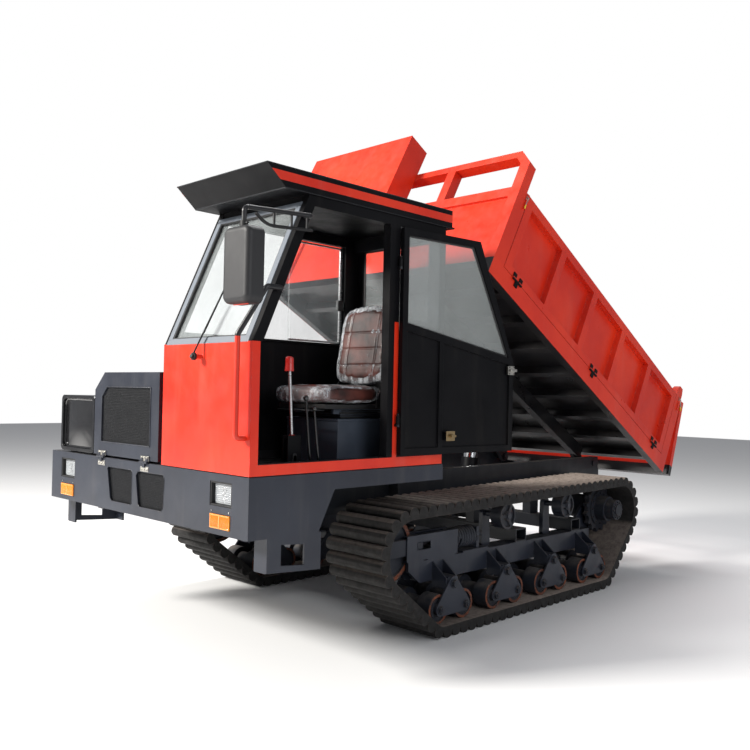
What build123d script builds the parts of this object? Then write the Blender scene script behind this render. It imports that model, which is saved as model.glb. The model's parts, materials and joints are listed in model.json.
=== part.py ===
"""Side-cab tracked dumper with a hydraulic tipping body, standing with the body raised and the door open.

Machine axes: X to the machine's left, Y from its nose to its tail, Z up from the ground.
Pieces are drawn from the nose plate, the centre plane and the ground, then moved together at the end,
so that the part's origin lies on the ground under the middle of its box.
"""
import os
from math import atan2, cos, degrees, radians, sin

from build123d import *

os.makedirs("parts", exist_ok=True)

# ---------------------------------------------------------------- driving dimensions, millimetres
box_middle = (82.5, 2516.6, 0)      # middle of the whole machine's box, on the ground
gap = 0.5                           # between a wheel's rim and the belt it runs in

half_width = 1158                   # bumper, side plates and cab
deck_z = 1145                       # top of bumper and deck
bumper_z = 812                      # bottom of bumper
plate = 12                          # heavy plate

belt_width = 497
belt_x = 941.5                      # middle of each belt
belt_thick = 33
lug_high = 45
lug_pitch = 90
lug_foot, lug_crest, lug_hollow = 42, 13, 9
idler_y, idler_z, idler_r = 1290, 587, 221
sprocket_y, sprocket_z, sprocket_r = 4032, 632, 211
sprocket_teeth = 15
roller_r = 99.5
roller_z = lug_high + belt_thick + gap + roller_r
bogie_y = [1751 + 622 * i for i in range(4)]
roller_step = 135                   # roller axle from the middle of its bogie
carrier_y = (2398, 3221)
carrier_r = 95

rail_in, rail_out = 520, 600        # chassis rails
rail_z0, rail_z1 = 785, 1032
rail_end = 4660
cross_y = (2750, 3560)              # cross beams over the track beams
beam_x0, beam_x1 = 870, 1010        # track beams
beam_z0, beam_z1 = 340, 485
beam_y0, beam_y1 = 1600, 3780

cab_x0 = 300                        # cab's inner side
cab_back = 1585
cab_floor = 1150
waist_z = 1868                      # bottom of the windscreen
cab_top = 2712
rake = 0.443                        # windscreen's lean, along Y for each unit of Z
roof_top = 2830
door_hinge_x, door_hinge_y = 1181, 1122
door_open = 174.7                   # door's angle from closed, as it stands

pivot_y, pivot_z = 4575, 972        # body pivot
tilt = 29.15                        # body's angle above level, as it stands
bed_pivot_u, bed_pivot_h = 2945, -68
bed_long = 3165
bed_half = 1190
gate_h0, gate_h1 = 137, 775
tail_hinge_u, tail_hinge_h = 3140, 850
tail_open = 8

hoist_arm = 1300                    # body pivot to each hoist eye
eye_rise, base_drop = 6.3, 19.7     # their angles above and below level, body lowered

# ---------------------------------------------------------------- places
bed_y = pivot_y - bed_pivot_u * cos(radians(tilt)) - bed_pivot_h * sin(radians(tilt))
bed_z = pivot_z + bed_pivot_u * sin(radians(tilt)) - bed_pivot_h * cos(radians(tilt))
bed_place = Location((0, bed_y, bed_z), (-tilt, 0, 0))
tail_place = (
    bed_place
    * Location((0, tail_hinge_u, tail_hinge_h))
    * Location((0, 0, 0), (tail_open, 0, 0))
    * Location((0, -tail_hinge_u, -tail_hinge_h))
)
door_place = (
    Location((door_hinge_x, door_hinge_y, 0), (0, 0, door_open)) * Location((-door_hinge_x, -door_hinge_y, 0))
)
base_y = pivot_y - hoist_arm * cos(radians(base_drop))
base_z = pivot_z - hoist_arm * sin(radians(base_drop))
eye_y = pivot_y - hoist_arm * cos(radians(eye_rise + tilt))
eye_z = pivot_z + hoist_arm * sin(radians(eye_rise + tilt))
hoist_lean = degrees(atan2(eye_z - base_z, eye_y - base_y))
hoist_place = Location((0, base_y, base_z), (hoist_lean - 90, 0, 0))
hoist_short = 2 * hoist_arm * sin(radians((eye_rise + base_drop) / 2))
hoist_now = 2 * hoist_arm * sin(radians((eye_rise + base_drop + tilt) / 2))
stage_out = (hoist_now - hoist_short) / 2


def finish(piece, name, place=Location()):
    """Label a piece, put it where it stands on the machine, and write it."""
    standing = piece.part.moved(Location((-box_middle[0], -box_middle[1], 0)) * place)
    standing.label = name
    export_step(standing, f"parts/{name}.step")


def slab(x0, x1, y0, y1, z0, z1, mode=Mode.ADD):
    """A block between two corners."""
    with Locations(((x0 + x1) / 2, (y0 + y1) / 2, (z0 + z1) / 2)):
        Box(abs(x1 - x0), abs(y1 - y0), abs(z1 - z0), mode=mode)


def bar_x(x0, x1, y, z, r, mode=Mode.ADD):
    """A round bar along X."""
    with Locations(Location(((x0 + x1) / 2, y, z), (0, 90, 0))):
        Cylinder(r, abs(x1 - x0), mode=mode)


def bar_y(x, y0, y1, z, r, mode=Mode.ADD):
    """A round bar along Y."""
    with Locations(Location((x, (y0 + y1) / 2, z), (90, 0, 0))):
        Cylinder(r, abs(y1 - y0), mode=mode)


def tube_box(x0, x1, y0, y1, z0, z1, wall, along):
    """A rectangular tube, open at both ends along one axis."""
    slab(x0, x1, y0, y1, z0, z1)
    low = [x0 + wall, y0 + wall, z0 + wall]
    high = [x1 - wall, y1 - wall, z1 - wall]
    low[along] = (x0, y0, z0)[along] - 1
    high[along] = (x1, y1, z1)[along] + 1
    slab(low[0], high[0], low[1], high[1], low[2], high[2], mode=Mode.SUBTRACT)


def profile(points):
    """A face from its corners, in its own plane."""
    with BuildSketch() as face:
        Polygon(*points, align=None)
    return face.sketch_local


def side_plate(points, x0, x1, mode=Mode.ADD):
    """A plate whose outline is given along Y and Z, between two places along X."""
    face = Plane.YZ.offset(x0) * profile(points)
    extrude(to_extrude=face, amount=x1 - x0, mode=mode)


def rounded(points):
    """The outline round a few circles, each given by its centre and radius."""
    with BuildSketch() as face:
        for y, z, r in points:
            with Locations((y, z)):
                Circle(r)
        make_hull()
    return face.sketch_local


def side_shape(circles, x0, x1, mode=Mode.ADD):
    """A plate with the outline round a few circles, between two places along X."""
    extrude(to_extrude=Plane.YZ.offset(x0) * rounded(circles), amount=x1 - x0, mode=mode)


# ---------------------------------------------------------------- tracks and running gear
def belt_loop(extra):
    """The belt's line round idler, end rollers and sprocket, some way outside their rims."""
    first, last = bogie_y[0] - roller_step, bogie_y[-1] + roller_step
    return rounded([
        (idler_y, idler_z, idler_r + extra),
        (first, roller_z, roller_r + extra),
        (last, roller_z, roller_r + extra),
        (sprocket_y, sprocket_z, sprocket_r + extra),
    ])


def belt_section():
    """The belt's section along the machine, with its ground lugs."""
    line = belt_loop(gap + belt_thick)
    path = line.faces()[0].outer_wire()
    middle = line.faces()[0].center()
    count = round(path.length / lug_pitch)
    # one lug: a narrow crest between hollow flanks that meet the next lug's
    with BuildSketch() as lug:
        with BuildLine():
            Polyline((-lug_foot, 0), (-lug_foot, -6), (lug_foot, -6), (lug_foot, 0))
            SagittaArc((lug_foot, 0), (lug_crest, lug_high), -lug_hollow)
            Line((lug_crest, lug_high), (-lug_crest, lug_high))
            SagittaArc((-lug_crest, lug_high), (-lug_foot, 0), -lug_hollow)
        make_face()
    with BuildSketch() as section:
        add(line)
        for i in range(count):
            point = path.position_at(i / count)
            along = path.tangent_at(i / count)
            out = Vector(along.Y, -along.X)
            if out.dot(point - middle) < 0:
                out = out * -1
            turn = degrees(atan2(out.Y, out.X)) - 90
            with Locations(Location((point.X, point.Y, 0), (0, 0, turn))):
                add(lug.sketch_local)
        add(belt_loop(gap), mode=Mode.SUBTRACT)
    return section.sketch_local


belt_face = belt_section()
top_slope = (sprocket_z + sprocket_r - idler_z - idler_r) / (sprocket_y - idler_y)


def carrier_z(y):
    """Height of a carrier's axle, just under the belt's top run."""
    return idler_z + idler_r + top_slope * (y - idler_y) - carrier_r - 1


def make_track(side, sign):
    """Every piece of one track; the right one is the left one's mirror image."""

    def put(piece, name):
        if sign < 0:
            with BuildPart() as other:
                add(mirror(piece.part, about=Plane.YZ, mode=Mode.PRIVATE))
            piece = other
        finish(piece, f"{name}_{side}")

    with BuildPart() as belt:
        extrude(to_extrude=Plane.YZ.offset(belt_x - belt_width / 2) * belt_face, amount=belt_width)
    put(belt, "track_belt")

    with BuildPart() as idler:
        bar_x(belt_x - 30, belt_x + 30, idler_y, idler_z, idler_r)
        for x in (belt_x - 30, belt_x + 12):
            bar_x(x, x + 18, idler_y, idler_z, idler_r - 30, mode=Mode.SUBTRACT)
        bar_x(belt_x - 31, belt_x + 31, idler_y, idler_z, 55)
        bar_x(belt_x - 31, belt_x + 31, idler_y, idler_z, 25.05, mode=Mode.SUBTRACT)
    put(idler, "idler_wheel")

    with BuildPart() as yoke:
        for x in (belt_x - 58, belt_x + 33.5):
            side_shape([(idler_y, idler_z, 56), (1520, idler_z, 52)], x, x + 25)
            slab(x, x + 25, 1500, 1600, idler_z - 50, idler_z + 50)
        slab(belt_x - 58, belt_x + 58.5, 1562, 1600, idler_z - 50, idler_z + 50)
        bar_x(belt_x - 62, belt_x + 62, idler_y, idler_z, 25)
        bar_y(belt_x, 1600, 2310, idler_z, 20)
        bar_y(belt_x, 1970, 1985, idler_z, 72)
    put(yoke, "idler_yoke")

    with BuildPart() as spring:
        bar_y(belt_x, 1986, 2204, idler_z, 76)
        bar_y(belt_x, 1985, 2205, idler_z, 52, mode=Mode.SUBTRACT)
    put(spring, "recoil_spring")

    with BuildPart() as frame:
        tube_box(beam_x0, beam_x1, beam_y0, beam_y1, beam_z0, beam_z1, 12, 1)
        # idler guide with its slot
        for web, flange in ((beam_x1, belt_x + 32), (beam_x0, belt_x - 32)):
            low, high = sorted((web, flange))
            tube_box(low, high, 1430, 1965, 490, 662, 8, 1)
            slab(flange - 9, flange + 9, 1429, 1966, 498, 654, mode=Mode.SUBTRACT)
            slab(low, high, 1640, 1940, beam_z1, 490)
        slab(beam_x1 - 9, beam_x1 + 1, 1535, 1670, 560, 612, mode=Mode.SUBTRACT)
        side_plate([(1445, 490), (1600, 490), (1600, beam_z0), (1560, beam_z0), (1445, 430)], 985, 1010)
        side_plate([(1445, 490), (1600, 490), (1600, beam_z0), (1560, beam_z0), (1445, 430)], 870, 895)
        # spring seat
        side_shape([(2220, 640, 15), (2220, 500, 15)], 890, 993)
        bar_y(belt_x, 2200, 2240, idler_z, 21, mode=Mode.SUBTRACT)
        slab(890, 993, 2205, 2235, beam_z1, 500)
        slab(beam_x0, beam_x1, 2030, 2330, beam_z1, 497)
        # carrier posts and axles
        for y in carrier_y:
            z = carrier_z(y)
            side_shape([(y, z, 42), (y - 30, beam_z1 + 20, 20), (y + 30, beam_z1 + 20, 20)], 900, 935)
            bar_x(935, 1146, y, z, 22)
        # bogies: outrigger, side plates, pivot, roller axles and nuts
        for y in bogie_y:
            for x0, x1 in ((1140, 1152), (731, 743)):
                side_shape([(y - roller_step, roller_z, 44), (y + roller_step, roller_z, 44), (y, 335, 48)],
                           x0, x1)
            slab(743, beam_x0, y - 45, y + 45, 306, 380)
            slab(beam_x1, 1140, y - 45, y + 45, 306, 380)
            for dy in (-62, 50):
                side_y = y + dy
                with BuildSketch(Plane.XZ.offset(-side_y - 12)) as gusset:
                    Polygon((beam_x1, 470), (beam_x1, 300), (1136, 300), (1136, 370), align=None)
                extrude(amount=12)
            bar_x(1152, 1170, y, 335, 24)
            for dy in (-roller_step, roller_step):
                bar_x(731, 1152, y + dy, roller_z, 17.5)
                bar_x(1152, 1168, y + dy, roller_z, 22)
        # final-drive motor and its carrier plate
        bar_x(705, 919, sprocket_y, sprocket_z, 105)
        side_shape([(sprocket_y, sprocket_z, 135), (3700, 413, 70)], 868, 892)
    put(frame, "track_frame")

    with BuildPart() as sprocket:
        with BuildSketch(Plane.YZ.offset(belt_x - 20)) as toothed:
            with Locations((sprocket_y, sprocket_z)):
                Circle(sprocket_r - 28)
                with PolarLocations(sprocket_r - 22, sprocket_teeth):
                    Trapezoid(60, 44, 62, rotation=-90)
                Circle(20, mode=Mode.SUBTRACT)
        extrude(amount=40)
        for x0, x1, r in ((961, 975, 150), (975, 1062, 108), (1062, 1140, 86), (1140, 1154, 50)):
            bar_x(x0, x1, sprocket_y, sprocket_z, r)
        bar_x(belt_x - 20, 990, sprocket_y, sprocket_z, 20.05, mode=Mode.SUBTRACT)
        for r, count, x0, x1, bolt_r in ((132, 12, 975, 985, 9), (68, 12, 1140, 1150, 8)):
            for place in PolarLocations(r, count).local_locations:
                bar_x(x0, x1, sprocket_y + place.position.X, sprocket_z + place.position.Y, bolt_r)
    put(sprocket, "drive_sprocket")

    for where, y in zip(("front", "rear"), carrier_y):
        with BuildPart() as carrier:
            z = carrier_z(y)
            bar_x(1040, 1132, y, z, carrier_r)
            bar_x(1118, 1133, y, z, carrier_r - 14, mode=Mode.SUBTRACT)
            bar_x(1118, 1132, y, z, 34)
            for turn in (90, 210, 330):
                with Locations(Location((1125, y, z), (turn, 0, 0))):
                    with Locations((0, 0, 55)):
                        Box(14, 26, 70)
            bar_x(1039, 1133, y, z, 22.05, mode=Mode.SUBTRACT)
        put(carrier, f"carrier_roller_{where}")

    number = 0
    for middle in bogie_y:
        for y in (middle - roller_step, middle + roller_step):
            number += 1
            with BuildPart() as roller:
                bar_x(belt_x - 188, belt_x + 188, y, roller_z, 62)
                for x0, x1 in ((belt_x - 188, belt_x - 78), (belt_x + 78, belt_x + 188)):
                    bar_x(x0, x1, y, roller_z, roller_r)
                for x0, x1 in ((belt_x - 189, belt_x - 176), (belt_x + 176, belt_x + 189)):
                    bar_x(x0, x1, y, roller_z, 80, mode=Mode.SUBTRACT)
                bar_x(belt_x - 192, belt_x + 192, y, roller_z, 40)
                bar_x(belt_x - 193, belt_x + 193, y, roller_z, 17.55, mode=Mode.SUBTRACT)
            put(roller, f"track_roller_{number}")


make_track("left", 1)
make_track("right", -1)

# ---------------------------------------------------------------- chassis
with BuildPart() as chassis:
    for sign in (1, -1):
        low, high = sorted((sign * rail_in, sign * rail_out))
        tube_box(low, high, 72, rail_end, rail_z0, rail_z1, 10, 1)
        bar_x(sign * 405, sign * 612, pivot_y, pivot_z, 30)
        # stanchions down to the cross beams
        for y in cross_y:
            slab(low, high, y - 60, y + 60, beam_z1 + 100, rail_z0)
        # side rail bracket
        slab(sign * rail_out, sign * (rail_out + 90), 1680, 1700, 800, 1030)
        # hoist ears
        slab(sign * 82, sign * 102, base_y - 60, base_y + 60, base_z - 50, 800)
        slab(sign * 102, sign * rail_in, base_y - 40, base_y + 40, 785, 865)
    bar_x(-102, 102, base_y, base_z, 20)
    for y in cross_y:
        tube_box(-beam_x1, beam_x1, y - 70, y + 70, beam_z1, beam_z1 + 100, 10, 0)
    for y in (120, 1000, 1900, 2600, 4250):
        slab(-rail_in, rail_in, y - 40, y + 40, 800, 880)
    slab(-rail_out, rail_out, rail_end, rail_end + 14, rail_z0, 925)
    # oil tank and valve block between the rails
    slab(-400, 100, 1960, 2540, 880, 970)
    slab(200, 400, 2060, 2260, 880, 972)
    slab(-500, 500, 2000, 2080, 800, 880)
    slab(-500, 500, 2420, 2500, 800, 880)
finish(chassis, "chassis_frame")

# ---------------------------------------------------------------- bumper, side plates and deck
lamp_x, lamp_wide = 908, 200
with BuildPart() as bumper:
    slab(-half_width, half_width, 0, plate, bumper_z, deck_z)
    slab(-half_width, half_width, plate, 70, bumper_z, bumper_z + plate)
    slab(-half_width + 20, half_width - 20, plate, 1600, deck_z - 10, deck_z)
    for sign in (1, -1):
        low, high = sorted((sign * half_width, sign * (half_width - plate)))
        side_plate([(plate, bumper_z), (500, bumper_z), (620, 1045), (1600, 1045), (1600, deck_z),
                    (plate, deck_z)], low, high)
        # step bracket
        side_plate([(130, bumper_z), (520, bumper_z), (520, 600), (130, 625)], low, high)
        side_plate([(228, 770), (396, 755), (396, 640), (228, 655)], low, high, mode=Mode.SUBTRACT)
        slab(sign * (half_width - 110), sign * (half_width - plate), 130, 142, 622, bumper_z + 5)
        slab(sign * (half_width - 110), sign * (half_width - plate), 508, 520, 602, bumper_z + 5)
        # headlamp and turn lamp openings
        slab(sign * lamp_x - 101, sign * lamp_x + 101, -1, plate + 1, 968, 1102, mode=Mode.SUBTRACT)
        slab(sign * lamp_x - 92, sign * lamp_x + 92, -1, plate + 1, 844, 926, mode=Mode.SUBTRACT)
        # lamp boxes
        slab(sign * lamp_x - 115, sign * lamp_x + 115, 60, 66, 830, deck_z - 10)
    for y in (300, 900, 1500):
        slab(-rail_out, rail_out, y, y + 16, rail_z1, deck_z - 10)
    # radiator openings with a screen behind each
    with BuildSketch(Plane.XZ) as openings:
        Polygon((-352, 1078), (-340, 1090), (-50, 1090), (-35, 1076), (-35, 884), (-50, 870), (-290, 870),
                (-308, 884), align=None)
        Polygon((8, 1062), (32, 1090), (325, 1090), (342, 1062), (330, 890), (310, 870), (60, 870),
                (42, 884), align=None)
    extrude(amount=-plate, mode=Mode.SUBTRACT)
    slab(-380, 370, plate + 10, plate + 13, 850, deck_z - 10)
    for sign in (1, -1):
        slab(-380 if sign < 0 else 358, -368 if sign < 0 else 370, plate, plate + 10, 850, deck_z - 10)
    # grille door hinge knuckles and pins
    for x in (-430, 110):
        slab(x - 13, x + 13, -10, 0, 1118, 1146)
        bar_x(x - 14, x + 14, -8, 1150, 8)
        bar_x(x - 46, x + 46, -8, 1150, 4)
finish(bumper, "front_bumper")

with BuildPart() as headlamps:
    for sign in (1, -1):
        slab(sign * lamp_x - 98, sign * lamp_x + 98, 30, 58, 972, 1098)
finish(headlamps, "headlamps")

with BuildPart() as turn_lamps:
    for sign in (1, -1):
        slab(sign * lamp_x - 90, sign * lamp_x + 90, -6, 58, 846, 924)
finish(turn_lamps, "turn_lamps")

lever_y, lever_z = 463, 1330        # control lever's pivot

# ---------------------------------------------------------------- engine bay
hood_line = [(-555, deck_z), (-555, 1590), (-430, 1705), (250, 1705), (250, deck_z)]
hood_inner = [(-547, deck_z - 1), (-547, 1586), (-427, 1697), (242, 1697), (242, deck_z - 1)]
hood_back = 1340
with BuildPart() as hood:
    with BuildSketch(Plane.XZ.offset(-26)):
        Polygon(*hood_line, align=None)
    extrude(amount=-(hood_back - 26))
    with BuildSketch(Plane.XZ.offset(-25)):
        Polygon(*hood_inner, align=None)
    extrude(amount=-(hood_back - 33), mode=Mode.SUBTRACT)
finish(hood, "engine_hood")

with BuildPart() as grille_door:
    with BuildSketch(Plane.XZ.offset(-6)):
        Polygon((-554, 1160), (-554, 1589), (-429, 1704), (249, 1704), (249, 1160), align=None)
        Polygon((-452, 1250), (-452, 1545), (-392, 1605), (150, 1605), (150, 1250), align=None,
                mode=Mode.SUBTRACT)
    extrude(amount=-18)
    slab(-470, 168, 19, 24, 1235, 1620)
    for x in (-430, 110):
        for low in (x - 44, x + 15):
            slab(low, low + 29, -6, 6, 1152, 1176)
            bar_x(low, low + 29, -8, 1150, 8)
        bar_x(x - 47, x + 47, -8, 1150, 4.05, mode=Mode.SUBTRACT)
finish(grille_door, "grille_door")

with BuildPart() as engine:
    slab(-330, 30, 420, 1010, 1150, 1480)
    slab(-300, 0, 470, 960, 1480, 1570)
    slab(-400, 120, 120, 200, 1170, 1600)
    bar_y(-150, 200, 420, 1330, 60)
    bar_y(-150, 225, 250, 1330, 180)
    slab(-380, 80, 1010, 1180, 1150, 1420)
finish(engine, "engine")

with BuildPart() as air_box:
    with BuildSketch(Plane.XZ.offset(-8)):
        with Locations((-806, 1352)):
            RectangleRounded(484, 388, 34)
    extrude(amount=-300)
    with BuildSketch(Plane.XZ.offset(-8)):
        with Locations((-806, 1352)):
            RectangleRounded(436, 340, 30)
    extrude(amount=-26, mode=Mode.SUBTRACT)
    slab(-1000, -612, 60, 290, deck_z, 1160)
finish(air_box, "air_intake_box")


# ---------------------------------------------------------------- cab
def pillar(x0, x1):
    """A raked front pillar."""
    foot, head = 5, 5 + rake * (cab_top - waist_z)
    side_plate([(foot, waist_z), (foot + 67, waist_z), (head + 67, cab_top), (head, cab_top)], x0, x1)


with BuildPart() as cab_body:
    slab(cab_x0, half_width, 0, plate, cab_floor, waist_z)
    slab(half_width - 60, half_width, plate, 55, cab_floor, waist_z)
    slab(cab_x0, cab_x0 + 50, plate, 55, cab_floor, waist_z)
    slab(cab_x0, half_width, plate, cab_back, cab_floor, cab_floor + 8)
    slab(half_width - 60, half_width, 55, cab_back, cab_floor, 1210)
    slab(cab_x0, cab_x0 + 12, 55, cab_back, cab_floor, 1210)
    slab(1118, half_width, 1101, 1141, 1210, 2050)
    slab(cab_x0 + 12, half_width - 60, cab_back - plate, cab_back, cab_floor, 1900)
    # strip between hood and cab
    slab(252, cab_x0, 60, 72, deck_z, 1700)
    # lamp-side boss of the wiper
    bar_y(690, -42, 0, 1790, 14)
finish(cab_body, "cab_body")

with BuildPart() as cab_frame:
    pillar(half_width - 60, half_width)
    pillar(cab_x0, cab_x0 + 50)
    head_y = 5 + rake * (cab_top - waist_z)
    slab(cab_x0, cab_x0 + 50, head_y, cab_back, 2650, cab_top)
    slab(half_width - 60, half_width, head_y, cab_back, 2650, cab_top)
    slab(cab_x0, half_width, head_y, head_y + 60, 2660, cab_top)
    slab(cab_x0, half_width, cab_back - 60, cab_back, 2620, cab_top)
    for x0, x1 in ((cab_x0, cab_x0 + 50), (half_width - 60, half_width)):
        slab(x0, x1, cab_back - 60, cab_back - plate, 1210, 2650)
        slab(x0, x1, cab_back - plate, cab_back, 1900, 2650)
    slab(half_width - 60, half_width, 1050, 1100, 1210, 2650)
    slab(half_width - 60, half_width, 1100, 1141, 2050, 2650)
    # quarter panel behind the door, inner side wall, rear window surround
    slab(half_width - 12, half_width, 1141, cab_back - 60, 1210, 2000)
    slab(cab_x0, cab_x0 + 12, 55, cab_back - 60, 1210, 1950)
    slab(cab_x0, cab_x0 + 50, 1445, cab_back - 60, 1950, 2650)
    slab(cab_x0 + 50, 420, cab_back - plate, cab_back, 1900, 2620)
    slab(1030, half_width - 60, cab_back - plate, cab_back, 1900, 2620)
    slab(420, 1030, cab_back - plate, cab_back, 1900, 1950)
    # window track of the sliding pane
    slab(cab_x0 + 12, cab_x0 + 30, 80, 1440, 1935, 1950)
    # lever console
    for x in (924, 966):
        slab(x, x + 10, lever_y - 50, lever_y + 50, 1158, lever_z + 20)
    bar_x(924, 976, lever_y, lever_z, 10)
    # hinge brackets and pins for the door
    for z in (1400, 2380):
        slab(half_width, door_hinge_x + 4, door_hinge_y - 8, door_hinge_y + 8, z, z + 16)
        with Locations((door_hinge_x, door_hinge_y, z + 45)):
            Cylinder(6, 60)
finish(cab_frame, "cab_frame")

with BuildPart() as cab_roof:
    side_plate([(63, roof_top), (1640, roof_top), (1640, cab_top), (200, cab_top)], 294, 1166)
    side_plate([(105, roof_top - 6), (1634, roof_top - 6), (1634, cab_top - 1), (238, cab_top - 1)],
               300, 1160, mode=Mode.SUBTRACT)
    slab(300, 1160, 238, 1634, cab_top, cab_top + 4)
    slab(294, 1166, 1640, 1664, cab_top, cab_top + 10)
finish(cab_roof, "cab_roof")

screen_foot = 24
with BuildPart() as cab_glass:
    glass_head = screen_foot + rake * (2656 - waist_z - 4)
    side_plate([(screen_foot, waist_z + 4), (screen_foot + 6, waist_z + 4), (glass_head + 6, 2656),
                (glass_head, 2656)], cab_x0 + 52, half_width - 62)
    slab(422, 1028, cab_back - 9, cab_back - 4, 1952, 2618)
    side_plate([(112, 1952), (960, 1952), (960, 2648), (421, 2648)], cab_x0 + 3, cab_x0 + 8)
    slab(half_width - 9, half_width - 4, 1143, cab_back - 62, 2002, 2648)
finish(cab_glass, "cab_glass")

with BuildPart() as sliding_window:
    slab(cab_x0 + 16, cab_x0 + 22, 945, 1440, 1953, 2640)
    slab(cab_x0 + 13, cab_x0 + 25, 1420, 1440, 1953, 2640)
    slab(cab_x0 + 13, cab_x0 + 25, 945, 965, 1953, 2640)
    slab(cab_x0 + 25, cab_x0 + 45, 1380, 1436, 2190, 2260)
finish(sliding_window, "sliding_window")


def door_line(inset):
    """The closed door's outline, with its raked front edge, set in by some amount."""
    lean = rake * (2640 - 1836)
    return [
        (1110 - inset, 1222 + inset), (1110 - inset, 2640 - inset),
        (55 + lean + inset * 1.35, 2640 - inset), (52 + inset, 1836 + inset * 0.3), (52 + inset, 1222 + inset),
    ]


door_x0, door_x1 = 1164, 1198
with BuildPart() as door:
    side_plate(door_line(0), door_x0, door_x1)
    side_plate(door_line(42), door_x0 - 1, door_x1 + 1, mode=Mode.SUBTRACT)
    # lower sheet, belt rail under the window, upright
    side_plate([(94, 1264), (1068, 1264), (1068, 1998), (94, 1822)], door_x0 + 12, door_x0 + 16)
    side_plate([(94, 1822), (1068, 1998), (1068, 2046), (94, 1868)], door_x0, door_x1)
    slab(door_x0, door_x1, 745, 783, 1264, 1950)
    # lock on the free edge, inner lock and handle
    slab(door_x0 - 2, door_x0, 60, 120, 1755, 1810)
    slab(door_x0 - 22, door_x0 + 12, 660, 730, 1310, 1365)
    slab(door_x1, door_x1 + 20, 110, 220, 1560, 1590)
    for z in (1400, 2380):
        with Locations((door_hinge_x, door_hinge_y, z + 16.5 + 25)):
            Cylinder(12, 50)
        slab(door_hinge_x - 8, door_hinge_x + 8, 1108, 1118, z + 16.5, z + 66.5)
        with Locations((door_hinge_x, door_hinge_y, z + 40)):
            Cylinder(6.05, 80, mode=Mode.SUBTRACT)
finish(door, "cab_door", door_place)

with BuildPart() as door_glass:
    lean = rake * (2640 - 1836)
    side_plate([(1067, 2047), (1067, 2597), (114 + lean, 2597), (112, 1880)], door_x0 + 14, door_x0 + 19)
finish(door_glass, "door_glass", door_place)

seat_y, seat_x = 200, 40            # seat's place from the middle of its mounting
with BuildPart() as seat_base:
    slab(seat_x + 420, seat_x + 900, seat_y + 640, seat_y + 1150, 1158, 1440)
    slab(seat_x + 480, seat_x + 860, seat_y + 700, seat_y + 1100, 1440, 1470)
    slab(seat_x + 480, seat_x + 500, seat_y + 640, seat_y + 1080, 1470, 1500)
    slab(seat_x + 840, seat_x + 860, seat_y + 640, seat_y + 1080, 1470, 1500)
    slab(970, 1080, 1360, 1540, 1158, 1500)
finish(seat_base, "seat_base")

with BuildPart() as seat:
    slab(seat_x + 450, seat_x + 930, seat_y + 480, seat_y + 1010, 1530, 1650)
    slab(seat_x + 470, seat_x + 910, seat_y + 520, seat_y + 1040, 1501, 1530)
    with BuildSketch(Plane.YZ.offset(seat_x + 460)):
        Polygon((seat_y + 985, 1650), (seat_y + 1110, 1650), (seat_y + 1190, 2180), (seat_y + 1085, 2205),
                align=None)
    extrude(amount=460)
    slab(seat_x + 460, seat_x + 920, seat_y + 1010, seat_y + 1110, 1530, 1650)
finish(seat, "seat")

with BuildPart() as lever:
    bar_x(938, 962, lever_y, lever_z, 24)
    with Locations(Location((950, lever_y - 14, lever_z + 210), (3.8, 0, 0))):
        Cylinder(9, 400)
    with Locations((950, lever_y - 30, lever_z + 430)):
        Cylinder(24, 70)
    bar_x(930, 970, lever_y, lever_z, 10.05, mode=Mode.SUBTRACT)
finish(lever, "control_lever")

# ---------------------------------------------------------------- wiper, mirror and grab rail
screen_out = Vector(0, -1, rake).normalized()
wiper_plane = Plane(origin=(690, -60, 1790), x_dir=(1, 0, 0), z_dir=screen_out)
with BuildPart() as wiper:
    with BuildSketch(wiper_plane):
        Circle(13)
    extrude(amount=9, both=True)
    with BuildSketch(wiper_plane.rotated((0, 0, -26))):
        with Locations((0, 175)):
            Rectangle(14, 350)
        with Locations(Location((8, 345, 0), (0, 0, 4))):
            Rectangle(16, 400)
    extrude(amount=4, both=True)
finish(wiper, "wiper")


def tube_run(points, r, bend):
    """A round tube along straight runs with rounded corners."""
    with BuildLine() as line:
        FilletPolyline(*points, radius=bend)
    with BuildSketch(Plane(origin=line.line @ 0, z_dir=line.line % 0)) as ring:
        Circle(r)
    sweep(sections=ring.sketch, path=line.line)


mirror_x, mirror_y, mirror_z = 1262, -150, 2235
with BuildPart() as rails:
    tube_run([(1112, 0, 1352), (1112, -62, 1352), (1112, -62, 1900), (1195, 60, 2160), (1195, 168, 2160),
              (1158, 168, 2160)], 15, 26)
    tube_run([(mirror_x, mirror_y, mirror_z + 197), (mirror_x, mirror_y, 2535), (1220, 345, 2575),
              (1158, 345, 2575)], 13, 26)
finish(rails, "grab_rail")

with BuildPart() as mirror_head:
    slab(mirror_x - 108, mirror_x + 108, mirror_y - 55, mirror_y + 50, mirror_z - 195, mirror_z + 195)
    fillet(mirror_head.edges().filter_by(Axis.Y), radius=42)
    fillet(mirror_head.edges().group_by(Axis.Y)[0], radius=30)
    with Locations((mirror_x, mirror_y, mirror_z + 192)):
        Cylinder(24, 8)
finish(mirror_head, "mirror_head")

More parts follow.
